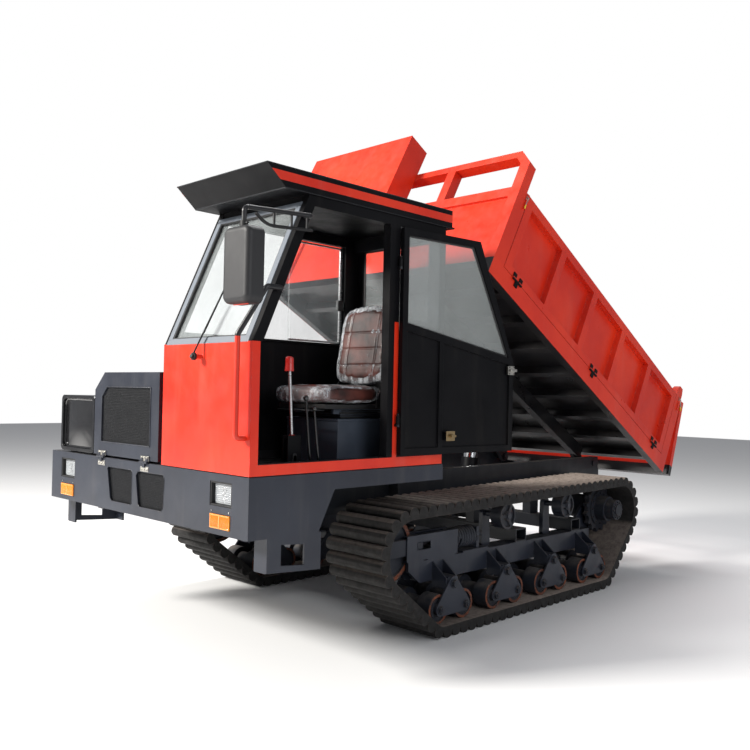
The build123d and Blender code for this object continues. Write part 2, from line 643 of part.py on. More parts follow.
# ---------------------------------------------------------------- tipping body, drawn level in its own frame
front_u = -15
with BuildPart() as bed:
    slab(-1120, 1120, 14, bed_long, 126, 132)
    for sign in (1, -1):
        low, high = sorted((sign * 1120, sign * bed_half))
        tube_box(low, high, 60, bed_long, 0, 132, 6, 1)
        slab(low, high, 60, 112, 132, gate_h1)
        slab(low, high, 3045, bed_long, 132, gate_h1)
        # frame post over the headboard and tailgate bracket
        slab(sign * 1105, sign * bed_half, front_u, 75, gate_h1, 1000)
        with BuildSketch(Plane.YZ.offset(low + 5)):
            Polygon((3060, gate_h1), (bed_long, gate_h1), (bed_long, 830), (3150, 885), (3090, 885),
                    (3060, 850), align=None)
        extrude(amount=60)
        bar_x(sign * 1098, sign * 1126, tail_hinge_u, tail_hinge_h, 18)
        # main beams and pivot ears
        low, high = sorted((sign * 420, sign * 490))
        tube_box(low, high, 250, 2870, -60, 56, 8, 1)
        side_shape([(bed_pivot_u, bed_pivot_h, 55), (2780, 0, 54)], sign * 440 - 19, sign * 440 + 21)
        bar_x(sign * 440 - 21, sign * 440 + 21, bed_pivot_u, bed_pivot_h, 30.05, mode=Mode.SUBTRACT)
        # hoist bracket
        slab(sign * 52, sign * 68, 1600, 1712, 40, 126)
        slab(sign * 68, sign * 430, 1640, 1672, 50, 126)
        # gate hinge leaves on the side rail
        for u in (298, 1570, 2841):
            bar_y(sign * 1198, u - 20, u + 20, 128, 7)
            bar_y(sign * 1198, u - 62, u + 62, 128, 4)
            slab(sign * bed_half, sign * 1196, u - 20, u + 20, 100, 128)
        # gate latches on the corner posts
        slab(sign * bed_half, sign * 1202, 84, 104, 640, 765)
        slab(sign * bed_half, sign * 1202, 3110, 3130, 640, 765)
    for u in range(320, 3100, 380):
        slab(-1120, 1120, u, u + 60, 56, 126)
    # headboard, rails and open frame over it
    slab(-1120, 1120, 10, 16, 96, 690)
    slab(-1120, 1120, front_u, 60, 40, 96)
    slab(-bed_half, bed_half, front_u, 60, 690, gate_h1)
    for sign in (1, -1):
        slab(sign * 1105, sign * bed_half, front_u, 60, 0, gate_h1)
    for x in (-360, 425):
        slab(x - 40, x + 40, front_u, 75, gate_h1, 1075)
    with BuildSketch(Plane.XZ.offset(-75)):
        Polygon((-bed_half, 1000), (-1080, 1130), (1080, 1130), (bed_half, 1000), (1105, 1000),
                (1050, 1070), (-1050, 1070), (-1105, 1000), align=None)
    extrude(amount=75 - front_u)
    # engine guard box standing forward of the headboard
    slab(-1165, 30, -235, front_u, 700, 1366)
    slab(-1159, 24, -229, front_u + 1, 706, 1360, mode=Mode.SUBTRACT)
    slab(-1159, 24, front_u - 6, front_u, 706, 1360)
finish(bed, "dump_body", bed_place)


def make_gate(sign):
    """A drop side with its rails, ribs and recessed panels."""
    out = sign * bed_half
    back = sign * 1133
    panel = sign * 1139
    u0, u1 = 117, 3040
    slab(back, panel, u0, u1, gate_h0, gate_h1)
    slab(panel, out, u0, u1, 706, gate_h1)
    slab(panel, out, u0, u1, gate_h0, 196)
    for i in range(6):
        middle = 157 + i * (3000 - 157) / 5
        slab(panel, out, middle - 38, middle + 38, 196, 706)
    for u in (298, 1570, 2841):
        for low in (u - 61, u + 21):
            slab(out, sign * 1196, low, low + 40, 137, 170)
            bar_y(sign * 1198, low, low + 40, 128, 7)
            slab(sign * 1193, sign * 1203, low, low + 40, 130, 140)
        bar_y(sign * 1198, u - 63, u + 63, 128, 4.05, mode=Mode.SUBTRACT)


for side, sign in (("left", 1), ("right", -1)):
    with BuildPart() as gate:
        make_gate(sign)
    finish(gate, f"gate_{side}", bed_place)

with BuildPart() as tailgate:
    slab(-1185, 1185, 3170, 3176, 24, 765)
    for h0, h1 in ((24, 84), (705, 765)):
        slab(-1185, 1185, 3176, 3222, h0, h1)
    for i in range(5):
        middle = -1155 + i * 2310 / 4
        slab(middle - 30, middle + 30, 3176, 3222, 84, 705)
    for sign in (1, -1):
        low, high = sorted((sign * 1060, sign * 1095))
        side_plate([(3176, 740), (3222, 740), (3176, 880), (3110, 880), (3110, 820), (3176, 780)], low, high)
        bar_x(sign * 1055, sign * 1105, tail_hinge_u, tail_hinge_h, 18.05, mode=Mode.SUBTRACT)
finish(tailgate, "tailgate", tail_place)

# ---------------------------------------------------------------- hoist, drawn upright from its base eye
with BuildPart() as barrel:
    bar_x(-70, 70, 0, 0, 42)
    with Locations((0, 0, 267)):
        Cylinder(80, 475)
    with Locations((0, 0, 280)):
        Cylinder(62.05, 451, mode=Mode.SUBTRACT)
    bar_x(-71, 71, 0, 0, 20.05, mode=Mode.SUBTRACT)
finish(barrel, "hoist_barrel", hoist_place)

with BuildPart() as stage_1:
    with Locations((0, 0, 289 + stage_out)):
        Cylinder(62, 462)
    with Locations((0, 0, 300 + stage_out)):
        Cylinder(46.05, 442, mode=Mode.SUBTRACT)
finish(stage_1, "hoist_stage_1", hoist_place)

with BuildPart() as stage_2:
    with Locations((0, 0, 315 + 2 * stage_out)):
        Cylinder(46, 470)
    bar_x(-30, 30, 0, hoist_now, 36)
    bar_x(-31, 31, 0, hoist_now, 15, mode=Mode.SUBTRACT)
finish(stage_2, "hoist_stage_2", hoist_place)

print("hoist", round(hoist_short), round(hoist_now), round(stage_out, 2), round(hoist_lean, 3))
print("bed origin", round(bed_y, 2), round(bed_z, 2), "hoist base", round(base_y, 2), round(base_z, 2))
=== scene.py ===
"""The looks of the tracked dumper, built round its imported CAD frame. Lengths inside are in millimetres."""
import json
import math

import bmesh
import bpy
from mathutils import Matrix, Vector, noise


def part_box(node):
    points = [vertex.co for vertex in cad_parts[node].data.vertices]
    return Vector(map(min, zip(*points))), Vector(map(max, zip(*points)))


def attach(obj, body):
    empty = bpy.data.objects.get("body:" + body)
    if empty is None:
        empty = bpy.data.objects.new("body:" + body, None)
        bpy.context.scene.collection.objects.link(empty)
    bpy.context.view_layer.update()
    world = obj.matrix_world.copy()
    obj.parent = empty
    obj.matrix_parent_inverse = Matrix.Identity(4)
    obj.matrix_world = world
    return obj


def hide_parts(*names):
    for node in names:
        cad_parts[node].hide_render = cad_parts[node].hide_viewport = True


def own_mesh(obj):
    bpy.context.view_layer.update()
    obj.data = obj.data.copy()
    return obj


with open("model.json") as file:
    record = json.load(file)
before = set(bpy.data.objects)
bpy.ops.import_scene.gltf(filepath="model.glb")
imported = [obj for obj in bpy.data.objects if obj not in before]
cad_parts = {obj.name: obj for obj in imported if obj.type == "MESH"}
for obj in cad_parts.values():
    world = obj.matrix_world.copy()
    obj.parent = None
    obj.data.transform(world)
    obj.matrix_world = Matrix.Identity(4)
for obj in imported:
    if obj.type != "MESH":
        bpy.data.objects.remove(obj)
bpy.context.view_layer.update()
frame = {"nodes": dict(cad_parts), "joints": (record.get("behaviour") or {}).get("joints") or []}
joints = {joint["name"]: joint for joint in frame["joints"]}
ROOT = "chassis"

# ---------------------------------------------------------------- frames of reference
# Machine axes: X to the machine's left, Y from the nose plate rearwards, Z up from the ground.
door_hinge = Vector(joints["cab_door_hinge"]["pos_m"]) * 1000
HINGE_X, HINGE_Y = 1181.0, 1122.0
to_row = Vector((door_hinge.x - HINGE_X, door_hinge.y - HINGE_Y, 0))
METRES = Matrix.Scale(0.001, 4)
MACHINE = METRES @ Matrix.Translation(to_row)

door_angle = -math.radians(joints["cab_door_hinge"]["range_deg"][0])
hinge_line = Matrix.Translation((HINGE_X, HINGE_Y, 0))
DOOR = MACHINE @ hinge_line @ Matrix.Rotation(door_angle, 4, "Z") @ hinge_line.inverted()

tilt = -math.radians(joints["body_tip"]["range_deg"][0])
body_pivot = Vector(joints["body_tip"]["pos_m"]) * 1000 - to_row
BED = (MACHINE @ Matrix.Translation((0, body_pivot.y, body_pivot.z)) @ Matrix.Rotation(-tilt, 4, "X")
       @ Matrix.Translation((0, -2945, 68)))

HALF = 1158                 # half the cab's and bumper's width
WAIST = 1868                # bottom of the windscreen
RAKE = 0.443                # windscreen's lean
CAB_X0, CAB_BACK = 300, 1585  # cab's inner side and back
BELT_X = 941.5              # middle of each belt
BED_HALF = 1190             # half the tipping body's width
BED_FLOOR = 129             # middle of its floor plate, above its base line
SIDES = (("left", 1), ("right", -1))


# ---------------------------------------------------------------- node helpers
class Finish:
    """A material and short ways to wire it."""

    def __init__(self, name, colour, rough=0.5, metal=0.0, coat=0.0):
        self.mat = bpy.data.materials.new(name)
        self.mat.use_nodes = True
        self.tree = self.mat.node_tree
        self.shader = self.tree.nodes["Principled BSDF"]
        self.put("Base Color", (*colour, 1))
        self.put("Roughness", rough)
        self.put("Metallic", metal)
        self.put("Coat Weight", coat)
        self.mat.diffuse_color = (*colour, 1)
        self.coords = self.tree.nodes.new("ShaderNodeTexCoord")

    def put(self, socket, value):
        self.shader.inputs[socket].default_value = value

    def link(self, out, into):
        self.tree.links.new(out, into)

    def spot(self, stretch=(1, 1, 1), turn=(0, 0, 0)):
        node = self.tree.nodes.new("ShaderNodeMapping")
        node.inputs["Scale"].default_value = stretch
        node.inputs["Rotation"].default_value = turn
        self.link(self.coords.outputs["Object"], node.inputs["Vector"])
        return node.outputs["Vector"]

    def noise(self, scale, detail=4, stretch=(1, 1, 1), rough=0.55):
        node = self.tree.nodes.new("ShaderNodeTexNoise")
        node.inputs["Scale"].default_value = scale
        node.inputs["Detail"].default_value = detail
        node.inputs["Roughness"].default_value = rough
        self.link(self.spot(stretch), node.inputs["Vector"])
        return node.outputs["Fac"]

    def span(self, value, low, high, to_low=0.0, to_high=1.0):
        node = self.tree.nodes.new("ShaderNodeMapRange")
        node.inputs["From Min"].default_value = low
        node.inputs["From Max"].default_value = high
        node.inputs["To Min"].default_value = to_low
        node.inputs["To Max"].default_value = to_high
        self.link(value, node.inputs["Value"])
        return node.outputs["Result"]

    def maths(self, what, a, b):
        node = self.tree.nodes.new("ShaderNodeMath")
        node.operation = what
        for socket, value in zip(node.inputs, (a, b)):
            if isinstance(value, (int, float)):
                socket.default_value = value
            else:
                self.link(value, socket)
        return node.outputs[0]

    def mix(self, share, a, b):
        node = self.tree.nodes.new("ShaderNodeMix")
        node.data_type = "RGBA"
        self.link(share, node.inputs[0])
        for socket, value in ((node.inputs[6], a), (node.inputs[7], b)):
            if isinstance(value, tuple):
                socket.default_value = (*value, 1)
            else:
                self.link(value, socket)
        return node.outputs[2]

    def up(self):
        """How far the surface faces up, from the piece's own normal."""
        node = self.tree.nodes.new("ShaderNodeSeparateXYZ")
        self.link(self.coords.outputs["Normal"], node.inputs[0])
        return node.outputs[2]

    def along(self, axis):
        node = self.tree.nodes.new("ShaderNodeSeparateXYZ")
        self.link(self.coords.outputs["Object"], node.inputs[0])
        return node.outputs[axis]

    def bump(self, height, strength, distance=0.002, before=None):
        node = self.tree.nodes.new("ShaderNodeBump")
        node.inputs["Strength"].default_value = strength
        node.inputs["Distance"].default_value = distance
        self.link(height, node.inputs["Height"])
        if before is not None:
            self.link(before, node.inputs["Normal"])
        self.link(node.outputs["Normal"], self.shader.inputs["Normal"])
        return node.outputs["Normal"]

    def round_edges(self, radius):
        """Normals rounded over the edges, as a plate's folded or ground edge is."""
        node = self.tree.nodes.new("ShaderNodeBevel")
        node.samples = 4
        node.inputs["Radius"].default_value = radius
        return node.outputs["Normal"]

    def edge_mask(self, radius):
        """1 on edges and 0 on flats."""
        bevel = self.round_edges(radius)
        true = self.tree.nodes.new("ShaderNodeNewGeometry")
        dot = self.tree.nodes.new("ShaderNodeVectorMath")
        dot.operation = "DOT_PRODUCT"
        self.link(bevel, dot.inputs[0])
        self.link(true.outputs["Normal"], dot.inputs[1])
        return self.span(dot.outputs["Value"], 0.995, 0.90)

    def colour(self, out):
        self.link(out, self.shader.inputs["Base Color"])

    def rough(self, out):
        self.link(out, self.shader.inputs["Roughness"])


DUST = (0.42, 0.36, 0.30)
RED, DEEP_RED = (0.78, 0.040, 0.010), (0.62, 0.020, 0.006)
# near-black for the painted shade inside the cab
CAB_INSIDE_SHADE = (0.006, 0.006, 0.007)


def paint(name, colour, dark, rough=0.34, dust=0.20, wear=(0.25, 0.24, 0.23), worn=0.5, coat=0.12, gloss=0.4):
    """Sprayed paint: slow shade changes, dust on what faces up, chipped edges and orange peel."""
    f = Finish(name, colour, rough, 0.0, coat)
    f.put("Coat Roughness", 0.18)
    f.put("Specular IOR Level", gloss)
    cloudy = f.span(f.noise(1.7, 5), 0.35, 0.68)
    base = f.mix(cloudy, dark, colour)
    streak = f.span(f.noise(9, 6, (1, 1, 0.12)), 0.55, 0.80, 0, dust * 0.35)
    base = f.mix(streak, base, DUST)
    film = f.maths("MULTIPLY", f.span(f.up(), 0.35, 0.95, 0, dust), f.span(f.noise(14, 8), 0.3, 0.62))
    base = f.mix(film, base, DUST)
    chips = f.maths("MULTIPLY", f.edge_mask(0.004), f.span(f.noise(38, 8), 0.56, 0.62, 0, worn))
    base = f.mix(chips, base, wear)
    f.colour(base)
    f.rough(f.span(f.noise(6, 7), 0.3, 0.7, rough - 0.07, rough + 0.14))
    f.bump(f.noise(420, 3), 0.10, 0.0006, f.round_edges(0.003))
    return f


red = paint("red_paint", RED, DEEP_RED)
slate = paint("slate_paint", (0.021, 0.026, 0.040), (0.013, 0.016, 0.026), 0.42, 0.12, (0.13, 0.12, 0.12))
# a darker copy of the slate paint, for the chassis rails: painted shade on their sides
slate_paint_shaded = paint("slate_paint_shaded", (0.011, 0.013, 0.019), (0.006, 0.008, 0.012), 0.45, 0.14, (0.09, 0.09, 0.09))
black = paint("black_paint", (0.0060, 0.0060, 0.0072), (0.003, 0.003, 0.004), 0.38, 0.05, (0.05, 0.05, 0.05),
              0.4, 0, 0.12)


def cab_paint():
    """Red outside, with painted shade inside the cab: its inner faces near-black."""
    f = paint("cab_paint", RED, DEEP_RED)
    painted = f.shader.inputs["Base Color"].links[0].from_socket
    skin = 0.001
    low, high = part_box("cab_body")
    inner_side = (CAB_X0 + to_row.x) / 1000 + skin
    front_plate = to_row.y / 1000 + 0.012 + skin / 2
    inside = 1.0
    for axis, test, limit in ((0, "GREATER_THAN", inner_side), (0, "LESS_THAN", high.x - skin),
                              (1, "GREATER_THAN", front_plate), (1, "LESS_THAN", high.y - skin),
                              (2, "GREATER_THAN", low.z + 5 * skin)):
        inside = f.maths("MULTIPLY", f.maths(test, f.along(axis), limit), inside)
    # painted shade: the cab's inner faces are made near-black
    f.colour(f.mix(inside, painted, CAB_INSIDE_SHADE))
    return f


def bed_paint(name, underside):
    """The tipping body's red, with painted shade below its floor: near-black where underside(f, place) is 1.
    """
    f = paint(name, RED, DEEP_RED)
    painted = f.shader.inputs["Base Color"].links[0].from_socket
    to_bed = BED.inverted()
    place = f.tree.nodes.new("ShaderNodeSeparateXYZ")
    f.link(f.coords.outputs["Object"], place.inputs[0])
    height = f.maths("ADD", f.maths("MULTIPLY", place.outputs[1], to_bed[2][1]),
                     f.maths("MULTIPLY", place.outputs[2], to_bed[2][2]))
    below = f.maths("LESS_THAN", f.maths("ADD", height, to_bed[2][3]), BED_FLOOR)
    under = f.maths("MULTIPLY", below, underside(f, place))
    # painted shade: near-black, with a little random tone, below the floor
    painted_under_shade = f.mix(f.span(f.noise(5, 8), 0.4, 0.7), (0.006, 0.006, 0.008), (0.016, 0.014, 0.014))
    f.colour(f.mix(under, painted, painted_under_shade))
    return f


def between_rails(f, place):
    """1 inside the outer faces of the side rails."""
    to_bed = BED.inverted()
    across = f.maths("ADD", f.maths("MULTIPLY", place.outputs[0], to_bed[0][0]), to_bed[0][3])
    return f.maths("LESS_THAN", f.maths("ABSOLUTE", across, 0), BED_HALF - 3)


def not_facing_rear(f, place):
    """0 on the outer face of the tailgate."""
    facing = f.tree.nodes.new("ShaderNodeVectorMath")
    facing.operation = "DOT_PRODUCT"
    f.link(f.coords.outputs["Normal"], facing.inputs[0])
    facing.inputs[1].default_value = BED.to_3x3().normalized() @ Vector((0, 1, 0))
    return f.maths("LESS_THAN", facing.outputs["Value"], 0.5)


cab_red = cab_paint()
# painted shade below the floor: inside the rails on the body, and on all but the rear face of the tailgate
bed_red = bed_paint("body_paint", between_rails)
tailgate_red = bed_paint("tailgate_paint", not_facing_rear)


def rubber(name, colour, dust):
    f = Finish(name, colour, 0.85)
    soil = f.span(f.noise(11, 9, rough=0.7), 0.38, 0.66)
    base = f.mix(soil, tuple(c * 0.55 for c in colour), tuple(c * 1.6 for c in colour))
    # dried soil lies on what faces up, and most of it toward the rear
    patches = f.span(f.noise(24, 10, rough=0.75), 0.30, 0.55, 0.35, 1)
    film = f.maths("MULTIPLY", f.span(f.up(), 0.5, 0.9), patches)
    film = f.maths("MULTIPLY", film, f.span(f.along(1), -1.1, 0.3, dust * 0.4, dust))
    base = f.mix(film, base, (0.44, 0.36, 0.31))
    rubbed = f.maths("MULTIPLY", f.edge_mask(0.006), 0.4)
    base = f.mix(rubbed, base, (0.10, 0.080, 0.068))
    f.colour(base)
    f.rough(f.span(f.noise(30, 6), 0.3, 0.7, 0.70, 0.95))
    near = f.bump(f.noise(170, 8), 0.5, 0.0015, f.round_edges(0.004))
    f.bump(f.noise(34, 6), 0.4, 0.003, near)
    return f


belt_rubber = rubber("track_rubber", (0.010, 0.009, 0.0085), 0.85)
seal_rubber = Finish("seal_rubber", (0.015, 0.015, 0.016), 0.6)
seal_rubber.bump(seal_rubber.noise(260, 4), 0.2, 0.0006)


def steel(name, colour, rough, stretch=(1, 1, 1), scale=60):
    f = Finish(name, colour, rough, 1.0)
    f.colour(f.mix(f.span(f.noise(scale, 6, stretch), 0.35, 0.7), tuple(c * 0.72 for c in colour), colour))
    f.rough(f.span(f.noise(scale * 0.7, 6, stretch), 0.3, 0.7, rough - 0.08, rough + 0.16))
    f.bump(f.noise(scale * 3, 4, stretch), 0.12, 0.0005, f.round_edges(0.0012))
    return f


zinc = steel("zinc_plate", (0.62, 0.60, 0.55), 0.34)
silver = steel("silver_metal", (0.66, 0.67, 0.68), 0.30, (1, 1, 6), 40)
trim = Finish("trim_strip", (0.15, 0.17, 0.20), 0.45)
chrome = steel("chrome_rod", (0.78, 0.79, 0.80), 0.10, (1, 1, 0.1), 90)
brass = steel("brass_lock", (0.42, 0.31, 0.17), 0.40)
dark_steel = steel("dark_steel", (0.055, 0.057, 0.062), 0.46)
cast = steel("cast_metal", (0.22, 0.22, 0.23), 0.60)


def rusty():
    f = Finish("worn_rust", (0.36, 0.11, 0.035), 0.75, 0.15)
    patch = f.span(f.noise(30, 9, rough=0.7), 0.36, 0.66)
    base = f.mix(patch, (0.030, 0.024, 0.024), (0.26, 0.065, 0.020))
    bright = f.span(f.noise(90, 6), 0.62, 0.68, 0, 0.6)
    f.colour(f.mix(bright, base, (0.24, 0.20, 0.18)))
    f.bump(f.noise(240, 8), 0.5, 0.0012)
    return f


rust = rusty()


def running_gear():
    """Slate paint on rolling parts, dusty and rubbed through to rust in patches."""
    f = paint("roller_paint", (0.022, 0.026, 0.037), (0.011, 0.013, 0.019), 0.5, 0.25, (0.16, 0.07, 0.035),
              0.8, 0)
    painted = f.shader.inputs["Base Color"].links[0].from_socket
    f.colour(f.mix(f.span(f.noise(13, 9, rough=0.7), 0.62, 0.72, 0, 0.5), painted, (0.10, 0.042, 0.022)))
    return f


gear = running_gear()


def plastic(name, colour, rough, grain_scale=0, grain=0.0, coat=0.0):
    f = Finish(name, colour, rough, 0, coat)
    f.colour(f.mix(f.span(f.noise(4, 6), 0.35, 0.7), tuple(c * 0.8 for c in colour), colour))
    f.rough(f.span(f.noise(8, 6), 0.3, 0.7, max(rough - 0.06, 0.03), rough + 0.12))
    if grain_scale:
        f.bump(f.noise(grain_scale, 3), grain, 0.0008, f.round_edges(0.004))
    return f


gloss_black = plastic("gloss_black", (0.010, 0.010, 0.011), 0.12, 90, 0.04, 0.6)
matt_black = plastic("matt_black", (0.009, 0.009, 0.010), 0.55, 500, 0.25)
mirror_shell = plastic("mirror_shell", (0.016, 0.016, 0.018), 0.50, 620, 0.5)
seat_grey = plastic("seat_box", (0.050, 0.062, 0.085), 0.38, 380, 0.25)
knob_red = plastic("knob_red", (0.60, 0.02, 0.015), 0.28, 80, 0.03, 0.5)
grip_yellow = plastic("grip_yellow", (0.85, 0.55, 0.03), 0.42, 200, 0.1)
lens_white = plastic("lens_white", (0.40, 0.42, 0.44), 0.12, 0, 0, 0.4)
lens_amber = plastic("lens_amber", (0.95, 0.30, 0.01), 0.14, 0, 0, 0.8)
mirror_glass = Finish("mirror_glass", (0.85, 0.87, 0.88), 0.03, 1.0)


def window(name, tint, alpha):
    f = Finish(name, tint, 0.04)
    f.put("IOR", 1.5)
    smear = f.span(f.noise(2.2, 6, (1, 1, 0.4)), 0.42, 0.75, alpha, alpha + 0.16)
    f.link(smear, f.shader.inputs["Alpha"])
    f.rough(f.span(f.noise(5, 5), 0.4, 0.8, 0.03, 0.12))
    f.put("Specular IOR Level", 0.9)
    return f


glass = window("window_glass", (0.62, 0.67, 0.68), 0.13)
door_pane = window("door_glass", (0.50, 0.53, 0.52), 0.30)


def vinyl():
    f = Finish("seat_vinyl", (0.06, 0.020, 0.016), 0.42, 0, 0.1)
    cells = f.tree.nodes.new("ShaderNodeTexVoronoi")
    cells.feature = "DISTANCE_TO_EDGE"
    cells.inputs["Scale"].default_value = 420
    f.link(f.spot(), cells.inputs["Vector"])
    f.colour(f.mix(f.span(f.noise(7, 5), 0.35, 0.7), (0.025, 0.010, 0.009), (0.13, 0.035, 0.026)))
    near = f.bump(cells.outputs["Distance"], 0.35, 0.0010)
    f.bump(f.noise(26, 5), 0.35, 0.004, near)
    return f


seat_vinyl = vinyl()


def film():
    """Clear wrapping film, with painted highlights: more opaque and whitish where it creases."""
    f = Finish("clear_film", (0.62, 0.65, 0.69), 0.09)
    folds = f.noise(13, 9, (1, 1, 0.55), 0.72)
    crease_highlights = f.span(folds, 0.46, 0.60)
    # painted highlights: the whitish film turns nearly opaque along the creases
    f.link(f.span(crease_highlights, 0, 1, 0.16, 0.92), f.shader.inputs["Alpha"])
    f.put("Specular IOR Level", 0.9)
    near = f.bump(folds, 1.0, 0.016)
    f.bump(f.noise(60, 6, (1, 1, 0.4)), 0.8, 0.004, near)
    return f


wrap_film = film()


def rail_finish():
    """Red paint low on the grab rail and black above the waist."""
    f = paint("rail_paint", (0.70, 0.040, 0.014), (0.55, 0.025, 0.010), 0.36, 0.2)
    painted = f.shader.inputs["Base Color"].links[0].from_socket
    f.colour(f.mix(f.maths("GREATER_THAN", f.along(2), 1.89), painted, (0.010, 0.010, 0.012)))
    return f


rail_paint = rail_finish()

# ---------------------------------------------------------------- materials of the CAD nodes
node_finish = {
    "dump_body": bed_red, "gate_left": red, "gate_right": red, "tailgate": tailgate_red, "cab_body": cab_red,
    "cab_frame": black, "cab_door": black, "cab_roof": black, "hoist_barrel": black,
    "chassis_frame": slate_paint_shaded, "front_bumper": slate, "engine_hood": slate, "grille_door": slate,
    "engine": cast, "air_intake_box": gloss_black, "hoist_stage_1": chrome, "hoist_stage_2": chrome,
    "cab_glass": glass, "door_glass": door_pane, "sliding_window": glass, "headlamps": lens_white,
    "turn_lamps": lens_amber, "grab_rail": rail_paint, "mirror_head": mirror_shell, "seat_base": seat_grey,
    "wiper": matt_black, "control_lever": knob_red, "seat": seat_vinyl,
}
for node, piece in frame["nodes"].items():
    if node.startswith("track_belt"):
        chosen = belt_rubber
    elif node.startswith(("track_frame", "recoil_spring")):
        chosen = slate
    else:
        chosen = node_finish.get(node, gear)
    piece.data.materials.clear()
    piece.data.materials.append(chosen.mat)


# ---------------------------------------------------------------- mesh helpers, in millimetres
def block(bm, x0, x1, y0, y1, z0, z1):
    middle = Vector(((x0 + x1) / 2, (y0 + y1) / 2, (z0 + z1) / 2))
    size = Matrix.Diagonal((abs(x1 - x0), abs(y1 - y0), abs(z1 - z0), 1))
    bmesh.ops.create_cube(bm, size=1, matrix=Matrix.Translation(middle) @ size)


def rod(bm, a, b, r, sides=20, r_end=None):
    """A round bar, or with few sides a hexagon or square, between two points."""
    a, b = Vector(a), Vector(b)
    turn = (b - a).to_track_quat("Z", "Y").to_matrix().to_4x4()
    bmesh.ops.create_cone(bm, cap_ends=True, segments=sides, radius1=r, radius2=r if r_end is None else r_end,
                          depth=(b - a).length, matrix=Matrix.Translation((a + b) / 2) @ turn)


def rod_loop(bm, points, r, sides=8):
    """Bars from each point to the next, and back to the first."""
    for a, b in zip(points, points[1:] + points[:1]):
        rod(bm, a, b, r, sides)


def ring(bm, centre, axis, r_in, r_out, thick, sides=48):
    """A flat washer about an axis."""
    centre, axis = Vector(centre), Vector(axis).normalized()
    turn = axis.to_track_quat("Z", "Y").to_matrix()
    loops = []
    for r, h in ((r_in, 0), (r_out, 0), (r_out, thick), (r_in, thick)):
        loops.append([bm.verts.new(centre + turn @ Vector((r * math.cos(a), r * math.sin(a), h)))
                      for a in (2 * math.pi * i / sides for i in range(sides))])
    for k in range(4):
        low, high = loops[k], loops[(k + 1) % 4]
        for i in range(sides):
            j = (i + 1) % sides
            bm.faces.new((low[i], low[j], high[j], high[i]))


def dome(bm, centre, r, flat=1.0, axis="Y", rings=5):
    turn = {"X": Matrix.Rotation(math.pi / 2, 4, "Y"), "Y": Matrix.Rotation(math.pi / 2, 4, "X"),
            "Z": Matrix.Identity(4)}[axis]
    shape = Matrix.Translation(centre) @ turn @ Matrix.Diagonal((1, 1, flat, 1))
    bmesh.ops.create_uvsphere(bm, u_segments=12, v_segments=rings * 2, radius=r, matrix=shape)


def prism(bm, outline, axis, low, high):
    """A plate from its outline in the two other axes."""
    sets = []
    for level in (low, high):
        spots = ({"X": (level, a, b), "Y": (a, level, b), "Z": (a, b, level)}[axis] for a, b in outline)
        sets.append([bm.verts.new(spot) for spot in spots])
    bm.faces.new(sets[0])
    bm.faces.new(list(reversed(sets[1])))
    count = len(outline)
    for i in range(count):
        j = (i + 1) % count
        bm.faces.new((sets[0][i], sets[1][i], sets[1][j], sets[0][j]))


def rounded_outline(x, z, half_x, half_z, r, y):
    """Points round an upright rectangle with rounded corners."""
    outline = []
    for cx, cz, start in ((half_x - r, half_z - r, 0), (r - half_x, half_z - r, 90),
                          (r - half_x, r - half_z, 180), (half_x - r, r - half_z, 270)):
        for k in range(7):
            a = math.radians(start + 15 * k)
            outline.append((x + cx + r * math.cos(a), y, z + cz + r * math.sin(a)))
    return outline


def tube(bm, points, r, sides=14, steps=6, closed=False):
    """A round tube along points, its corners rounded by a spline through them."""
    curve = bpy.data.curves.new("tube_path", "CURVE")
    curve.dimensions = "3D"
    spline = curve.splines.new("NURBS")
    spline.points.add(len(points) - 1)
    for point, place in zip(spline.points, points):
        point.co = (*place, 1)
    spline.order_u = 3
    spline.use_endpoint_u = not closed
    spline.use_cyclic_u = closed
    spline.resolution_u = steps
    curve.bevel_depth = r
    curve.bevel_resolution = max(1, sides // 4 - 1)
    curve.use_fill_caps = True
    holder = bpy.data.objects.new("tube_path", curve)
    mesh = bpy.data.meshes.new_from_object(holder)
    bm.from_mesh(mesh)
    bpy.data.objects.remove(holder)
    bpy.data.curves.remove(curve)
    bpy.data.meshes.remove(mesh)


def hexbolt(bm, place, axis, r=10, high=7, washer=True):
    """A hex head on its washer, standing out along an axis."""
    place, axis = Vector(place), Vector(axis).normalized()
    if washer:
        rod(bm, place, place + axis * 2, r * 1.35, 20)
    rod(bm, place + axis * (2 if washer else 0), place + axis * high, r, 6)


def make(name, bm, finish, body, place=MACHINE, edge=1.0, smooth=35):
    """Turns what was drawn into a piece that rides on a CAD body."""
    bmesh.ops.recalc_face_normals(bm, faces=bm.faces)
    mesh = bpy.data.meshes.new(name)
    bm.to_mesh(mesh)
    bm.free()
    mesh.transform(place)
    mesh.materials.append(finish.mat)
    mesh.polygons.foreach_set("use_smooth", [True] * len(mesh.polygons))
    mesh.set_sharp_from_angle(angle=math.radians(smooth))
    piece = bpy.data.objects.new(name, mesh)
    bpy.context.scene.collection.objects.link(piece)
    if edge:
        bevel = piece.modifiers.new("edge", "BEVEL")
        bevel.width = edge / 1000
        bevel.segments = 2
        bevel.limit_method = "ANGLE"
        bevel.angle_limit = math.radians(40)
    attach(piece, body)
    return piece


# ---------------------------------------------------------------- nose: grilles, lamps and hinges
def mesh_screen(name, x0, x1, z0, z1, y, body, pitch=10.0, wire=1.5):
    """Woven wire screen, with painted shade behind it: a near-black sheet where the opening's inside lies in
    shade.
    """
    bm = bmesh.new()
    x = x0
    while x <= x1:
        rod(bm, (x, y, z0), (x, y, z1), wire, 5)
        x += pitch
    z = z0
    while z <= z1:
        rod(bm, (x0, y + wire * 0.6, z), (x1, y + wire * 0.6, z), wire, 5)
        z += pitch
    make(name, bm, dark_steel, body, edge=0)
    # painted shade: a near-black sheet just behind the wires, in place of the shadowed space inside the
    # opening
    bm = bmesh.new()
    block(bm, x0, x1, y + 4, y + 4.8, z0, z1)
    make(name + "_painted_shade_sheet", bm, matt_black, body, edge=0)


